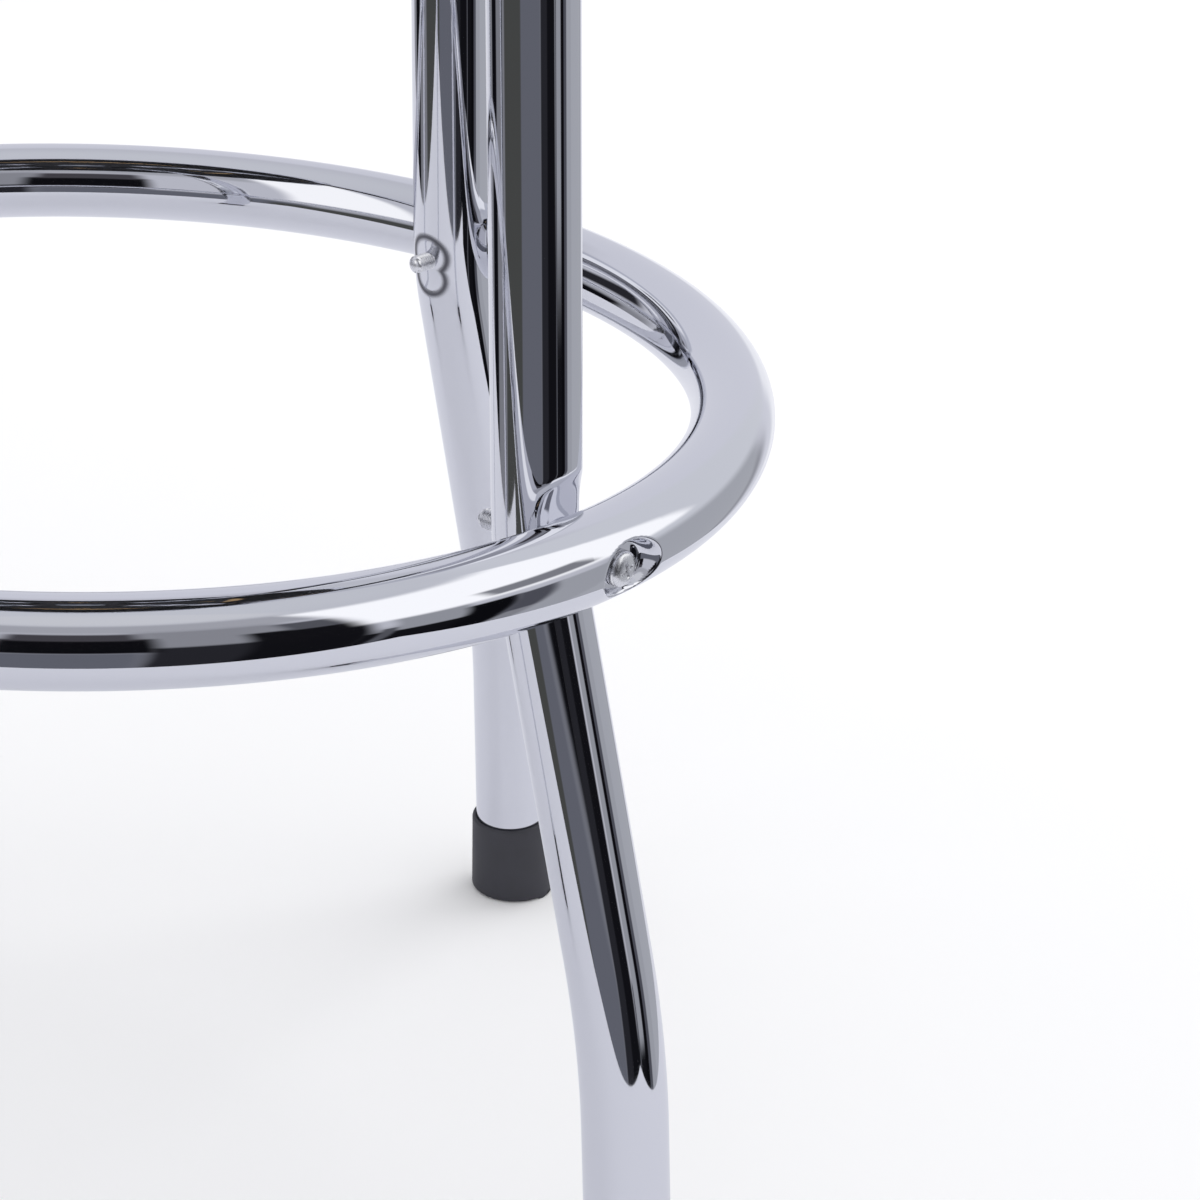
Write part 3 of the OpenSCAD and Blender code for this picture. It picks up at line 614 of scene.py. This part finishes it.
ring = rolled_ring()
ring.name = "rolled_foot_ring"
draw_pockets(ring)
outward_normals(ring)
bpy.ops.object.shade_smooth()
ring.data.materials.append(tube_chrome)
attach(ring, "frame")
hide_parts("foot_ring")
print("ring", len(ring.data.polygons), "faces")

# %% [markdown]
# ## Round pieces
# Screws, tips, cushion, piping and band are all round. They could be cut from cylinders, but their
# rims and beads are easier to draw: a helper draws half a section with straight strokes and spins
# it round the upright axis, as a lathe does.

# %% Helpers that draw a section and spin it
def draw_section(name, points):
    """Draws a line of edges through points, given as radius and height in mm."""
    bpy.ops.object.select_all(action="DESELECT")
    bpy.ops.mesh.primitive_plane_add(size=1 * MM)
    made = bpy.context.object
    made.name = made.data.name = name
    edit_all(made)
    bpy.ops.mesh.merge(type="CENTER")
    places = [Vector((r, 0, z)) * MM for r, z in points]
    bpy.ops.transform.translate(value=places[0])
    for here, there in zip(places, places[1:]):
        bpy.ops.mesh.extrude_region_move(TRANSFORM_OT_translate={"value": there - here})
    bpy.ops.object.mode_set(mode="OBJECT")
    return made


def turned(name, points, steps):
    made = draw_section(name, points)
    edit_all(made)
    bpy.ops.mesh.spin(steps=steps, angle=math.tau, center=(0, 0, 0), axis=(0, 0, 1))
    bpy.ops.object.mode_set(mode="OBJECT")
    outward_normals(made)
    return made


def apply_modifiers(piece):
    pick(piece)
    for modifier in list(piece.modifiers):
        bpy.ops.object.modifier_apply(modifier=modifier.name)


def smooth(piece, degrees):
    pick(piece)
    bpy.ops.object.shade_smooth_by_angle(angle=math.radians(degrees))


def join(first, *others):
    pick(first)
    for other in others:
        other.select_set(True)
    bpy.ops.object.join()
    return first


# %% [markdown]
# ## Bright steel
# Screws are cold-headed steel with a thin bright plate. It is a little less of a mirror than the
# tube: a fine grain breaks up the reflections, and the plate is a touch darker in places.

# %% Plated steel for screws and hardware
def plated_steel(name, colour, darker, roughness, grain, depth, patch=5 * MM):
    """Plated metal. grain and depth give the fine grain, patch the size of the darker places."""
    made = plain(name, colour, roughness, 1)
    tree, shader, place = opened(made)
    fine = node(tree, "TexNoise", inputs={"Vector": place, "Scale": 1 / grain, "Detail": 3})
    broad = node(tree, "TexNoise", inputs={"Vector": place, "Scale": 1 / patch, "Detail": 3})
    share = node(tree, "MapRange", inputs={0: broad, 1: 0.35, 2: 0.7})
    tint = node(tree, "Mix", {"data_type": "RGBA"},
                {0: share, 6: linear(colour), 7: linear(darker)})
    rough = node(tree, "MapRange", inputs={0: fine, 3: roughness * 0.7, 4: roughness * 1.4})
    bump = node(tree, "Bump", inputs={"Height": fine, "Distance": depth, "Strength": 1})
    feed(shader, {"Base Color": tint.outputs[2], "Roughness": rough, "Normal": bump})
    return made


screw_steel = plated_steel("bright_screw_steel", "#F4F4F6", "#DDDEE2", 0.28, 0.7 * MM, 0.02 * MM)
print("finish:", screw_steel.name)

# %% [markdown]
# ## Ring screws
# At each pocket a pan head screw goes through ring and leg. Its head has a cross recess, cut here
# with two tapered blocks. Its far end sticks out on the inner side of the leg, with a thread that
# the Screw modifier winds from one tooth, and a domed point.

# %% Turn the screw's head and cut the recess
SCREW_R, SCREW_LENGTH, THREAD_LENGTH, THREAD_DEPTH = 2.95, 48, 15, 0.6
RECESS_REACH, RECESS_WIDTH, RECESS_TOP, RECESS_FLOOR = 6.6, 1.25, 4.4, 1.4

screw_head = turned("ring_screw_pattern", [
    (0, 0), (4.95, 0), (5.2, 0.25), (5.2, 1.6), (5.08, 2.15), (4.75, 2.65), (4.15, 3.05), (3.2, 3.35),
    (2.0, 3.55), (0, 3.62)], 72)


def recess_arm(turn):
    """A block across the head that gets narrower and shorter towards the bottom of the recess."""
    bpy.ops.object.select_all(action="DESELECT")
    middle = (RECESS_TOP + RECESS_FLOOR) / 2 * MM
    bpy.ops.mesh.primitive_cube_add(size=1, location=(0, 0, middle))
    arm = bpy.context.object
    arm.scale = (RECESS_REACH * MM, RECESS_WIDTH * MM, (RECESS_TOP - RECESS_FLOOR) * MM)
    bpy.ops.object.transform_apply(location=True, scale=True)
    for point in arm.data.vertices:
        if point.co.z < middle:
            point.co.x *= 0.4
            point.co.y *= 0.75
    arm.data.transform(Matrix.Rotation(turn, 4, "Z"))
    return arm


for turn in (math.radians(20), math.radians(110)):
    arm = recess_arm(turn)
    cut = screw_head.modifiers.new("recess", "BOOLEAN")
    cut.solver = "EXACT"
    cut.object = arm
    apply_modifiers(screw_head)
    bpy.data.objects.remove(arm)
worn = screw_head.modifiers.new("worn edges", "BEVEL")
worn.width = 0.12 * MM
worn.segments = 2
worn.limit_method = "ANGLE"
worn.angle_limit = math.radians(40)
apply_modifiers(screw_head)
print("screw head", len(screw_head.data.polygons), "faces")

# %% Turn the shank and wind the thread
thread_top = THREAD_LENGTH - SCREW_LENGTH
root_r = SCREW_R - THREAD_DEPTH
shank = turned("shank", [
    (0, 0.1), (SCREW_R, 0.1), (SCREW_R, thread_top + 0.6), (root_r, thread_top),
    (root_r, 1.3 - SCREW_LENGTH), (root_r - 0.12, 0.8 - SCREW_LENGTH), (root_r - 0.5, 0.35 - SCREW_LENGTH),
    (root_r - 1.3, 0.08 - SCREW_LENGTH), (0, -SCREW_LENGTH)], 40)
thread = draw_section("thread", [
    (root_r - 0.1, 0), (root_r, 0.02), (SCREW_R, 0.42), (SCREW_R, 0.56), (root_r, 0.96), (root_r - 0.1, 0.98),
    (root_r - 0.1, 0)])
wind = thread.modifiers.new("wind", "SCREW")
wind.screw_offset = 1 * MM
wind.iterations = THREAD_LENGTH - 1
wind.steps = wind.render_steps = 28
apply_modifiers(thread)
thread.data.transform(Matrix.Translation((0, 0, (0.9 - SCREW_LENGTH) * MM)))
edit_all(thread)
bpy.ops.mesh.remove_doubles(threshold=0.005 * MM)
bpy.ops.mesh.fill_holes(sides=0)
bpy.ops.object.mode_set(mode="OBJECT")
outward_normals(thread)
screw_pattern = join(screw_head, shank, thread)
smooth(screw_pattern, 32)
screw_pattern.data.materials.append(screw_steel)

# %% [markdown]
# A real screw never sits quite straight in its hole. Each is tipped down by about a degree towards
# the middle of the stool and set slightly low, which brings its end nearer to the photograph.

# %% Drive a screw in at each pocket
SCREW_DIP, SCREW_SETTLE = math.radians(1.3), 0.6 * MM
seated = (Matrix.Translation(screw_start - Vector((0, 0, SCREW_SETTLE)))
          @ Matrix.Rotation(math.pi / 2 + SCREW_DIP, 4, "Y"))
screw_pattern.data.transform(seated @ Matrix.Translation((0, 0, pocket_floor + SADDLE_FIT / 2)))
for where, degrees in LEG_TURNS.items():
    screw = copy_turned(screw_pattern, "ring_screw_" + where, degrees)
    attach(screw, "frame")
    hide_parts("ring_screws")
print("one ring screw has", len(screw_pattern.data.polygons), "faces")
bpy.data.objects.remove(screw_pattern)

# %% [markdown]
# ## Rubber tips
# Each foot wears a moulded rubber tip, a little wider at the sole, with a rounded rim and lower
# edge. It is turned on the leg's own line and then cut level with the floor. Moulded rubber is
# nearly black, matt and faintly pebbled, with a grey bloom.

# %% Turn a tip, cut it level and round its lower edge
TIP_H, TIP_RIM_R, TIP_SOLE_R, TIP_EDGE = 31, 14.2, 14.9, 1.6
bore_r = tube_r / MM + 0.04

tip_pattern = turned("rubber_tip_pattern", [
    (0, -5), (TIP_SOLE_R + 0.1, -5), (TIP_SOLE_R, 0), (TIP_SOLE_R - 0.06, 3), (TIP_RIM_R + 0.1, TIP_H - 6),
    (TIP_RIM_R, TIP_H - 1.1), (TIP_RIM_R - 0.15, TIP_H - 0.5), (TIP_RIM_R - 0.5, TIP_H - 0.1),
    (TIP_RIM_R - 0.8, TIP_H), (bore_r + 0.3, TIP_H - 0.05), (bore_r, TIP_H - 0.4), (bore_r, TIP_H - 9),
    (0, TIP_H - 9)], 96)
foot_place = Matrix.Translation((sole_r, 0, 0)) @ Matrix.Rotation(-FOOT_LEAN, 4, "Y")
tip_pattern.data.transform(foot_place)
edit_all(tip_pattern)
bpy.ops.mesh.bisect(plane_co=(0, 0, 0), plane_no=(0, 0, 1), use_fill=True, clear_inner=True)
bpy.ops.mesh.select_all(action="DESELECT")
shape = bmesh.from_edit_mesh(tip_pattern.data)
for edge in shape.edges:
    if all(abs(end.co.z) < 0.01 * MM for end in edge.verts):
        edge.select = True
bmesh.update_edit_mesh(tip_pattern.data)
bpy.ops.mesh.bevel(offset=TIP_EDGE * MM, segments=5, affect="EDGES")
bpy.ops.object.mode_set(mode="OBJECT")
outward_normals(tip_pattern)
smooth(tip_pattern, 35)


# %% Moulded rubber
def matt_skin(name, tints, patch, detail, roughness, grain, depth, strength):
    """A matt skin with patches of two tints, and a fine relief of the size and depth of its grain.

    Where the two values of roughness differ, the roughness follows the patches.
    """
    made = plain(name, tints[0], roughness[0])
    tree, shader, place = opened(made)
    broad = node(tree, "TexNoise", inputs={"Vector": place, "Scale": 1 / patch, "Detail": detail})
    tint = node(tree, "Mix", {"data_type": "RGBA"},
                {0: broad, 6: linear(tints[0]), 7: linear(tints[1])})
    if roughness[0] != roughness[1]:
        rough = node(tree, "MapRange", inputs={0: broad, 3: roughness[0], 4: roughness[1]})
        feed(shader, {"Roughness": rough})
    fine = node(tree, "TexNoise", inputs={"Vector": place, "Scale": 1 / grain, "Detail": 2})
    bump = node(tree, "Bump", inputs={"Height": fine, "Distance": depth, "Strength": strength})
    feed(shader, {"Base Color": tint.outputs[2], "Normal": bump})
    return made


# A grey bloom lies in broad patches, and the mould has left a pebble.
moulded_rubber = matt_skin(
    "moulded_rubber", ("#2A2A30", "#3A3A42"), 8 * MM, 4, (0.45, 0.75), 0.6 * MM, 0.03 * MM, 0.6)
tip_pattern.data.materials.append(moulded_rubber)
for where, degrees in LEG_TURNS.items():
    tip = copy_turned(tip_pattern, "rubber_tip_" + where, degrees)
    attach(tip, "frame")
    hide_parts("tip_" + where)
print("a tip stands", round(max(v.co.z for v in tip_pattern.data.vertices) / MM, 1), "mm high")
bpy.data.objects.remove(tip_pattern)

# %% [markdown]
# ## Upholstery vinyl
# The seat is covered in black upholstery vinyl: a knitted cloth coated with soft PVC, embossed with
# a leather grain and lacquered. The eye sees small rounded cells with fine creases between them, a
# soft gloss on the cells and less in the creases.

# %% Black vinyl with leather grain
def grained_vinyl(name, colour, grain):
    """grain is the width of one embossed cell."""
    made = plain(name, colour, 0.4)
    tree, shader, place = opened(made)
    warp = node(tree, "TexNoise", inputs={"Vector": place, "Scale": 1 / (grain * 4), "Detail": 2})
    pulled = node(tree, "VectorMath", {"operation": "MULTIPLY_ADD"},
                  {0: warp.outputs["Color"], 1: (grain * 2, grain * 2, grain * 2), 2: place})
    cells = node(tree, "TexVoronoi", {"feature": "DISTANCE_TO_EDGE"},
                 {"Vector": pulled, "Scale": 1 / grain, "Randomness": 1})
    cell = node(tree, "MapRange", {"interpolation_type": "SMOOTHSTEP"},
                {0: cells.outputs["Distance"], 1: 0, 2: 0.25})
    pores = node(tree, "TexNoise", inputs={"Vector": place, "Scale": 1 / (grain * 0.25), "Detail": 2})
    height = node(tree, "Math", {"operation": "MULTIPLY_ADD"},
                  {0: pores, 1: 0.3, 2: cell})
    bump = node(tree, "Bump", inputs={"Height": height, "Distance": 0.06 * MM, "Strength": 0.8})
    broad = node(tree, "TexNoise", inputs={"Vector": place, "Scale": 1 / (70 * MM), "Detail": 3})
    worn_gloss = node(tree, "MapRange", inputs={0: broad, 1: 0.3, 2: 0.7, 3: 0.36, 4: 0.48})
    gloss = node(tree, "Math", {"operation": "MULTIPLY_ADD"},
                 {0: cell, 1: -0.1, 2: worn_gloss})
    # The creases between the cells are painted darker, as painted shade.
    crease = [c * 0.45 for c in linear(colour)[:3]] + [1]
    tint = node(tree, "Mix", {"data_type": "RGBA"}, {0: cell, 6: crease, 7: linear(colour)})
    feed(shader, {"Base Color": tint.outputs[2], "Roughness": gloss, "Normal": bump})
    return made


seat_vinyl = grained_vinyl("black_seat_vinyl", "#1B1B1E", 1.6 * MM)
print("finish:", seat_vinyl.name)

# %% [markdown]
# ## Cushion
# A plywood disc carries a block of foam, and the vinyl is pulled down over both and stapled below.
# The form is spun with its side and crown a little too flat, remeshed into even faces and blown up
# as cloth, so that the vinyl stretches over the foam. Band and seam hold it fast meanwhile. The
# seam itself comes afterwards, because the remesh would wipe it out.

# %% Spin the cushion
band_low, band_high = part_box("seat_band")
cover_low, cover_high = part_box("seat_cover")
board_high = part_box("seat_board")[1]
pipe_low, pipe_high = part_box("seat_piping")
PIPING_R = 2.5
SHOULDER_IN, SIDE_BULGE, CROWN_DROP, CROWN_POWER = 5, 2.2, 13, 2.6
band_z, band_top = band_low.z / MM, band_high.z / MM
cover_r = board_high.x / MM + 1.25
seam_r = cover_r - SHOULDER_IN
seam_z = cover_high.z / MM - CROWN_DROP
pipe_r = pipe_high.x / MM - PIPING_R
pipe_z = (pipe_low.z + pipe_high.z) / 2 / MM


def cushion_section(inset):
    """Half a section of the cushion, from under the foam up and over. Its panels are inset a little."""
    bottom = board_high.z / MM + 0.1
    side = [(cover_r - SHOULDER_IN * u * u + (SIDE_BULGE - inset) * math.sin(math.pi * u),
             band_top + (seam_z - band_top) * u) for u in (i / 8 for i in range(8))]
    crown = [(seam_r * u, seam_z + CROWN_DROP * (1 - u ** CROWN_POWER) - inset * (1 - u ** 6))
             for u in (1 - i / 20 for i in range(21))]
    return [(0, bottom), (cover_r - 0.3, bottom)] + side + crown


CUSHION_INSET = 1.2
VOXEL = 4.5 * MM
cushion = turned("vinyl_cushion", cushion_section(CUSHION_INSET), 144)
even = cushion.modifiers.new("even faces", "REMESH")
even.mode = "VOXEL"
even.voxel_size = VOXEL
apply_modifiers(cushion)
print("cushion", len(cushion.data.polygons), "even faces")

# %% Blow it up as cloth
PRESSURE, STEPS, MOST_MOVE = 3, 20, CUSHION_INSET * MM
SEAM_HOLD = 6
before = [point.co.copy() for point in cushion.data.vertices]


def off_piping(place):
    """How far a place is from the line of the piping, in mm."""
    return math.hypot(math.hypot(place.x, place.y) / MM - pipe_r, place.z / MM - pipe_z)


held = cushion.vertex_groups.new(name="held by the band and the seam")
fast = [place.z < band_top * MM or off_piping(place) < SEAM_HOLD for place in before]
held.add([number for number, is_fast in enumerate(fast) if is_fast], 1, "REPLACE")
cloth = cushion.modifiers.new("stretch", "CLOTH")
cloth.settings.use_pressure = True
cloth.settings.uniform_pressure_force = PRESSURE
cloth.settings.effector_weights.gravity = 0
cloth.settings.vertex_group_mass = held.name
for step in range(1, STEPS + 1):
    bpy.context.scene.frame_set(step)
apply_modifiers(cushion)
bpy.context.scene.frame_set(1)
furthest = 0
for point, start in zip(cushion.data.vertices, before):
    move = point.co - start
    furthest = max(furthest, move.length)
    if move.length > MOST_MOVE:
        point.co = start + move * (MOST_MOVE / move.length)
print("the vinyl wanted to move", round(furthest / MM, 1), "mm")

# %% [markdown]
# The seam draws the foam in along the piping, and the pull of the stitches leaves small puckers on
# both sides of it. They are slow waves round the seat, strongest a few millimetres from the piping.

# %% Draw in the seam
SEAM_UNDER, SEAM_WIDTH, PUCKER, PUCKER_WIDTH = 2.1, 5, 0.35, 11
finer = cushion.modifiers.new("finer", "SUBSURF")
finer.levels = finer.render_levels = 1
apply_modifiers(cushion)
random.seed(7)
puckers = [(random.randint(28, 80), random.uniform(0, math.tau), random.uniform(0.4, 1)) for _ in range(5)]
closest = min(off_piping(point.co) for point in cushion.data.vertices)
print("before it is drawn in, the vinyl comes within", round(closest, 2), "mm of the piping's line")
for point in cushion.data.vertices:
    off = off_piping(point.co)
    if off < PUCKER_WIDTH * 3 and point.co.z > band_top * MM:
        around = math.atan2(point.co.y, point.co.x)
        wave = sum(size * math.sin(count * around + start) for count, start, size in puckers)
        near = math.exp((closest ** 2 - off ** 2) / SEAM_WIDTH ** 2)
        fading = math.exp(-(off / PUCKER_WIDTH) ** 2)
        draw = (SEAM_UNDER - closest) * near + PUCKER * wave * (1 - near) * fading
        point.co -= Vector((math.cos(around), math.sin(around), 1)).normalized() * draw * MM

# %% [markdown]
# Below the band the vinyl goes on round the board's edge and is stapled underneath. Round a disc it
# can only lie flat in pleats, so the hem gets a fold every few centimetres.

# %% Turn the hem under the board
HEM_IN, HEM_UP, HEM_T, PLEATS, PLEAT_DROP, PLEAT_START = 38, 18, 1.1, 44, 0.7, 9.5
under = cover_low.z / MM
hem_shares = (1, 0.75, 0.5, 0.4, 0.3)
hem = turned("hem", [(cover_r - HEM_IN * share, under) for share in hem_shares] + [
    (cover_r - 1, under), (cover_r - 0.2, under + 0.4), (cover_r, under + 2), (cover_r, under + HEM_UP),
    (cover_r - HEM_T, under + HEM_UP), (cover_r - HEM_T, under + HEM_T), (cover_r - HEM_IN, under + HEM_T),
    (cover_r - HEM_IN, under)], PLEATS * 8)
dust_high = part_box("dust_cover")[1]
cloth_r = dust_high.x / MM
for point in hem.data.vertices:
    r = math.hypot(point.co.x, point.co.y) / MM
    if cloth_r + 1 < r < cover_r - PLEAT_START and point.co.z < (under + HEM_T / 2) * MM:
        around = math.atan2(point.co.y, point.co.x) / math.tau * PLEATS
        fold = around - math.floor(around)
        point.co.z -= PLEAT_DROP * fold ** 3 * MM
join(cushion, hem)
pick(cushion)
bpy.ops.object.shade_smooth()
cushion.data.materials.append(seat_vinyl)
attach(cushion, "seat")
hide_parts("seat_cover", "seat_foam")
print("cushion", len(cushion.data.polygons), "faces, crown at",
      round(max(v.co.z for v in cushion.data.vertices) / MM, 1), "mm")

# %% [markdown]
# ## Piping
# A strip of vinyl is wrapped round a cord and sewn into the seam between side and crown. It never
# runs quite true by hand, so its line wavers a little. The strip's ends meet in a short overlap.

# %% Sew in the piping
OVERLAP, WRAP_SHARE = math.radians(3), 0.97
piping = turned("vinyl_piping", [
    (pipe_r + PIPING_R * math.cos(turn), pipe_z + PIPING_R * math.sin(turn))
    for turn in (i * math.tau / 24 for i in range(25))], 360)
for point in piping.data.vertices:
    around = math.atan2(point.co.y, point.co.x)
    waver = 0.12 * math.sin(13 * around) + 0.08 * math.sin(31 * around + 1) + 0.05 * math.sin(71 * around + 2)
    swell = 1 + 0.1 * max(0, 1 - abs(around - math.pi / 2) / OVERLAP)
    middle = Vector((math.cos(around) * pipe_r, math.sin(around) * pipe_r, pipe_z)) * MM
    point.co = middle + (point.co - middle) * (WRAP_SHARE * swell)
    point.co.z += waver * MM
smooth(piping, 60)
piping.data.materials.append(grained_vinyl("black_piping_vinyl", "#18181B", 1.1 * MM))
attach(piping, "seat")
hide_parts("seat_piping")
print("piping", round(2 * pipe_r), "mm across, middle at", round(pipe_z, 1), "mm")

# %% [markdown]
# ## Chrome band
# A strip of thin sheet is rolled between shaped wheels that raise three beads, bent into a hoop,
# and turned in at the bottom as a lip for its screws. The section is drawn once along the outer
# face and spun, and then gets the thickness of the sheet.

# %% Roll the band
SHEET, LIP_W, BEAD_OUT, BEAD_HALF, BEADS, BEND_R = 0.8, 10, 1.25, 3.1, 3, 1.6
PLAIN_EDGE = 2.5
band_r = band_high.x / MM - BEAD_OUT
bead_step = (band_top - band_z - PLAIN_EDGE * 2) / (BEADS + 1)


def band_section():
    """The band's outer face, from the lip's edge up to the rolled rim, as radius and height."""
    lip = [(band_r - LIP_W, band_z), (band_r - LIP_W * 0.6, band_z), (band_r - BEND_R, band_z)]
    corner = [(band_r - BEND_R * (1 - math.sin(t)), band_z + BEND_R * (1 - math.cos(t)))
              for t in (i * math.pi / 10 for i in range(1, 6))]
    beads = []
    for number in range(1, BEADS + 1):
        middle = band_z + PLAIN_EDGE + number * bead_step
        beads += [(band_r + BEAD_OUT * math.cos(t * math.pi / 2) ** 2, middle + t * BEAD_HALF)
                  for t in (i / 7 - 1 for i in range(15))]
    rim = [(band_r, band_top - 1.2), (band_r - 0.05, band_top - 0.6), (band_r - 0.25, band_top - 0.2),
           (band_r - 0.55, band_top)]
    return lip + corner + beads + rim


band = turned("beaded_band", band_section(), 288)
finish_shell(band, SHEET * MM)
band.data.materials.append(chrome_plate("chrome_plated_band", "#DFE0E6", 0.04, 18 * MM, 0.004 * MM))
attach(band, "seat")
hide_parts("seat_band")
print("band", round(2 * band_r), "mm across,", round(band_top - band_z, 1), "mm high")

# %% [markdown]
# ## Dust cloth
# A ring of black non-woven cloth is stapled under the board to hide the hem. It is pressed flat
# felt, about a third of a millimetre thick. Between two staples it hangs down a little. Under it
# lie crossing fibres, which show as a fine fleece.

# %% Cut and staple the dust cloth
DUST_W, DUST_T, DUST_SAG, STAPLES = 50, 0.35, 0.5, 16
hole_r = cloth_r - DUST_W
cloth_z = dust_high.z / MM - 0.12
upper_face = [(hole_r + (cloth_r - hole_r) * i / 12, cloth_z) for i in range(13)]
lower_face = [(hole_r + (cloth_r - hole_r) * i / 12, cloth_z - DUST_T) for i in range(12, -1, -1)]
dust = turned("dust_cloth", upper_face + lower_face + upper_face[:1], STAPLES * 14)
for point in dust.data.vertices:
    r = math.hypot(point.co.x, point.co.y) / MM
    around = math.atan2(point.co.y, point.co.x)
    between = 0.5 + 0.5 * math.cos(STAPLES * around)
    edge = min(1, abs(r - (cloth_r - 4)) / 12)
    point.co.z -= DUST_SAG * between * (0.35 + 0.65 * edge) * MM * min(1, (cloth_r + 8 - r) / 20)
smooth(dust, 50)


# %% Non-woven cloth
def non_woven():
    """Pressed polypropylene fibre: black, matt, with a fleece of crossing fibres."""
    made = plain("non_woven_cloth", "#1C1C1E", 0.9)
    tree, shader, place = opened(made)
    fibres = []
    for turn in (0.4, 1.9):
        laid = node(tree, "Mapping", inputs={"Vector": place, "Rotation": (0, 0, turn), "Scale": (1, 9, 1)})
        fibre = node(tree, "TexNoise", inputs={"Vector": laid, "Scale": 1 / (6 * MM), "Detail": 3})
        fibres.append(fibre)
    both = node(tree, "Math", {"operation": "MAXIMUM"}, {0: fibres[0], 1: fibres[1]})
    bump = node(tree, "Bump", inputs={"Height": both, "Distance": 0.12 * MM, "Strength": 0.7})
    share = node(tree, "MapRange", inputs={0: both, 1: 0.45, 2: 0.75})
    tint = node(tree, "Mix", {"data_type": "RGBA"},
                {0: share, 6: linear("#161618"), 7: linear("#2B2B2E")})
    feed(shader, {"Base Color": tint.outputs[2], "Normal": bump})
    return made


dust.data.materials.append(non_woven())
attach(dust, "seat")
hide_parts("dust_cover")
print("dust cloth", round(2 * cloth_r), "mm across with a hole of", round(2 * hole_r), "mm")

# %% [markdown]
# ## Hardware of the swivel and the seat
# These pieces keep the shapes that the construction model gives them and only get their finish:
# zinc plate on bolts, their nuts, pin and steel washers, yellow zinc on leg nuts, tee nuts and cage,
# black enamel on the two swivel plates, nylon plugs and saddle washers, polished balls, birch
# plywood and staple wire.

# %% Enamel, nylon and plywood
# Stoved enamel on sheet steel is nearly smooth, with a faint orange peel and a soft gloss.
enamel = matt_skin(
    "black_plate_enamel", ("#161618", "#232326"), 25 * MM, 4, (0.25, 0.5), 1.4 * MM, 0.03 * MM, 0.5)
# Moulded nylon has the fine spark finish of its mould, and is slightly greyer where it is handled.
nylon = matt_skin("black_nylon", ("#19191B", "#2A2A2D"), 12 * MM, 3, (0.5, 0.5), 0.35 * MM, 0.02 * MM, 0.6)


PLY_T = 1.5 * MM


def birch_plywood():
    """Thin plies lie crosswise in turn, so the edge is banded and the faces are grained."""
    made = plain("birch_plywood", "#C9A672", 0.6)
    tree, shader, place = opened(made)
    split = node(tree, "SeparateXYZ", inputs={0: place})
    plies = node(tree, "Math", {"operation": "MULTIPLY"}, {0: split.outputs[2], 1: math.pi / PLY_T})
    band = node(tree, "Math", {"operation": "SINE"}, {0: plies})
    cross = node(tree, "Math", {"operation": "GREATER_THAN"}, {0: band, 1: 0})
    long_grain = node(tree, "Mapping", inputs={"Vector": place, "Scale": (0.08, 1, 1)})
    grain = node(tree, "TexNoise", inputs={"Vector": long_grain, "Scale": 1 / (2 * MM), "Detail": 4})
    grained = node(tree, "Mix", {"data_type": "RGBA"},
                   {0: grain, 6: linear("#B98F5A"), 7: linear("#E0C294")})
    banded = node(tree, "Mix", {"data_type": "RGBA", "blend_type": "MULTIPLY"},
                  {0: cross, 6: grained.outputs[2], 7: linear("#C8AE8C")})
    bump = node(tree, "Bump", inputs={"Height": grain, "Distance": 0.06 * MM, "Strength": 0.5})
    feed(shader, {"Base Color": banded.outputs[2], "Normal": bump})
    return made


plywood = birch_plywood()
print("finishes:", enamel.name, nylon.name, plywood.name)


# %% Give each piece its finish
zinc = plated_steel("bright_zinc", "#C3C7CE", "#9EA3AB", 0.3, 0.6 * MM, 0.006 * MM)
yellow_zinc = plated_steel("yellow_zinc", "#D8C48A", "#B59AA0", 0.28, 0.6 * MM, 0.006 * MM, 3 * MM)
ball_steel = plated_steel("polished_ball_steel", "#CFCFD2", "#BEBEC2", 0.05, 1 * MM, 0.0005 * MM)
staple_wire = plated_steel("galvanised_wire", "#B9BBBE", "#96989C", 0.35, 0.3 * MM, 0.01 * MM)
FINISHES = {
    "tip_washers": zinc, "leg_bolts": zinc, "bolt_nuts": zinc, "king_pin": zinc, "pin_washer": zinc,
    "seat_screws": zinc, "leg_nuts": yellow_zinc, "ball_cage": yellow_zinc, "tee_nuts": yellow_zinc,
    "leg_plugs": nylon, "saddle_washers": nylon, "lower_plate": enamel, "upper_plate": enamel,
    "bearing_balls": ball_steel, "seat_board": plywood, "band_screws": screw_steel, "staples": staple_wire,
}
for name, finish in FINISHES.items():
    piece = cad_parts[name]
    piece.data.materials.clear()
    piece.data.materials.append(finish)
print(len(FINISHES), "construction pieces have their finish")
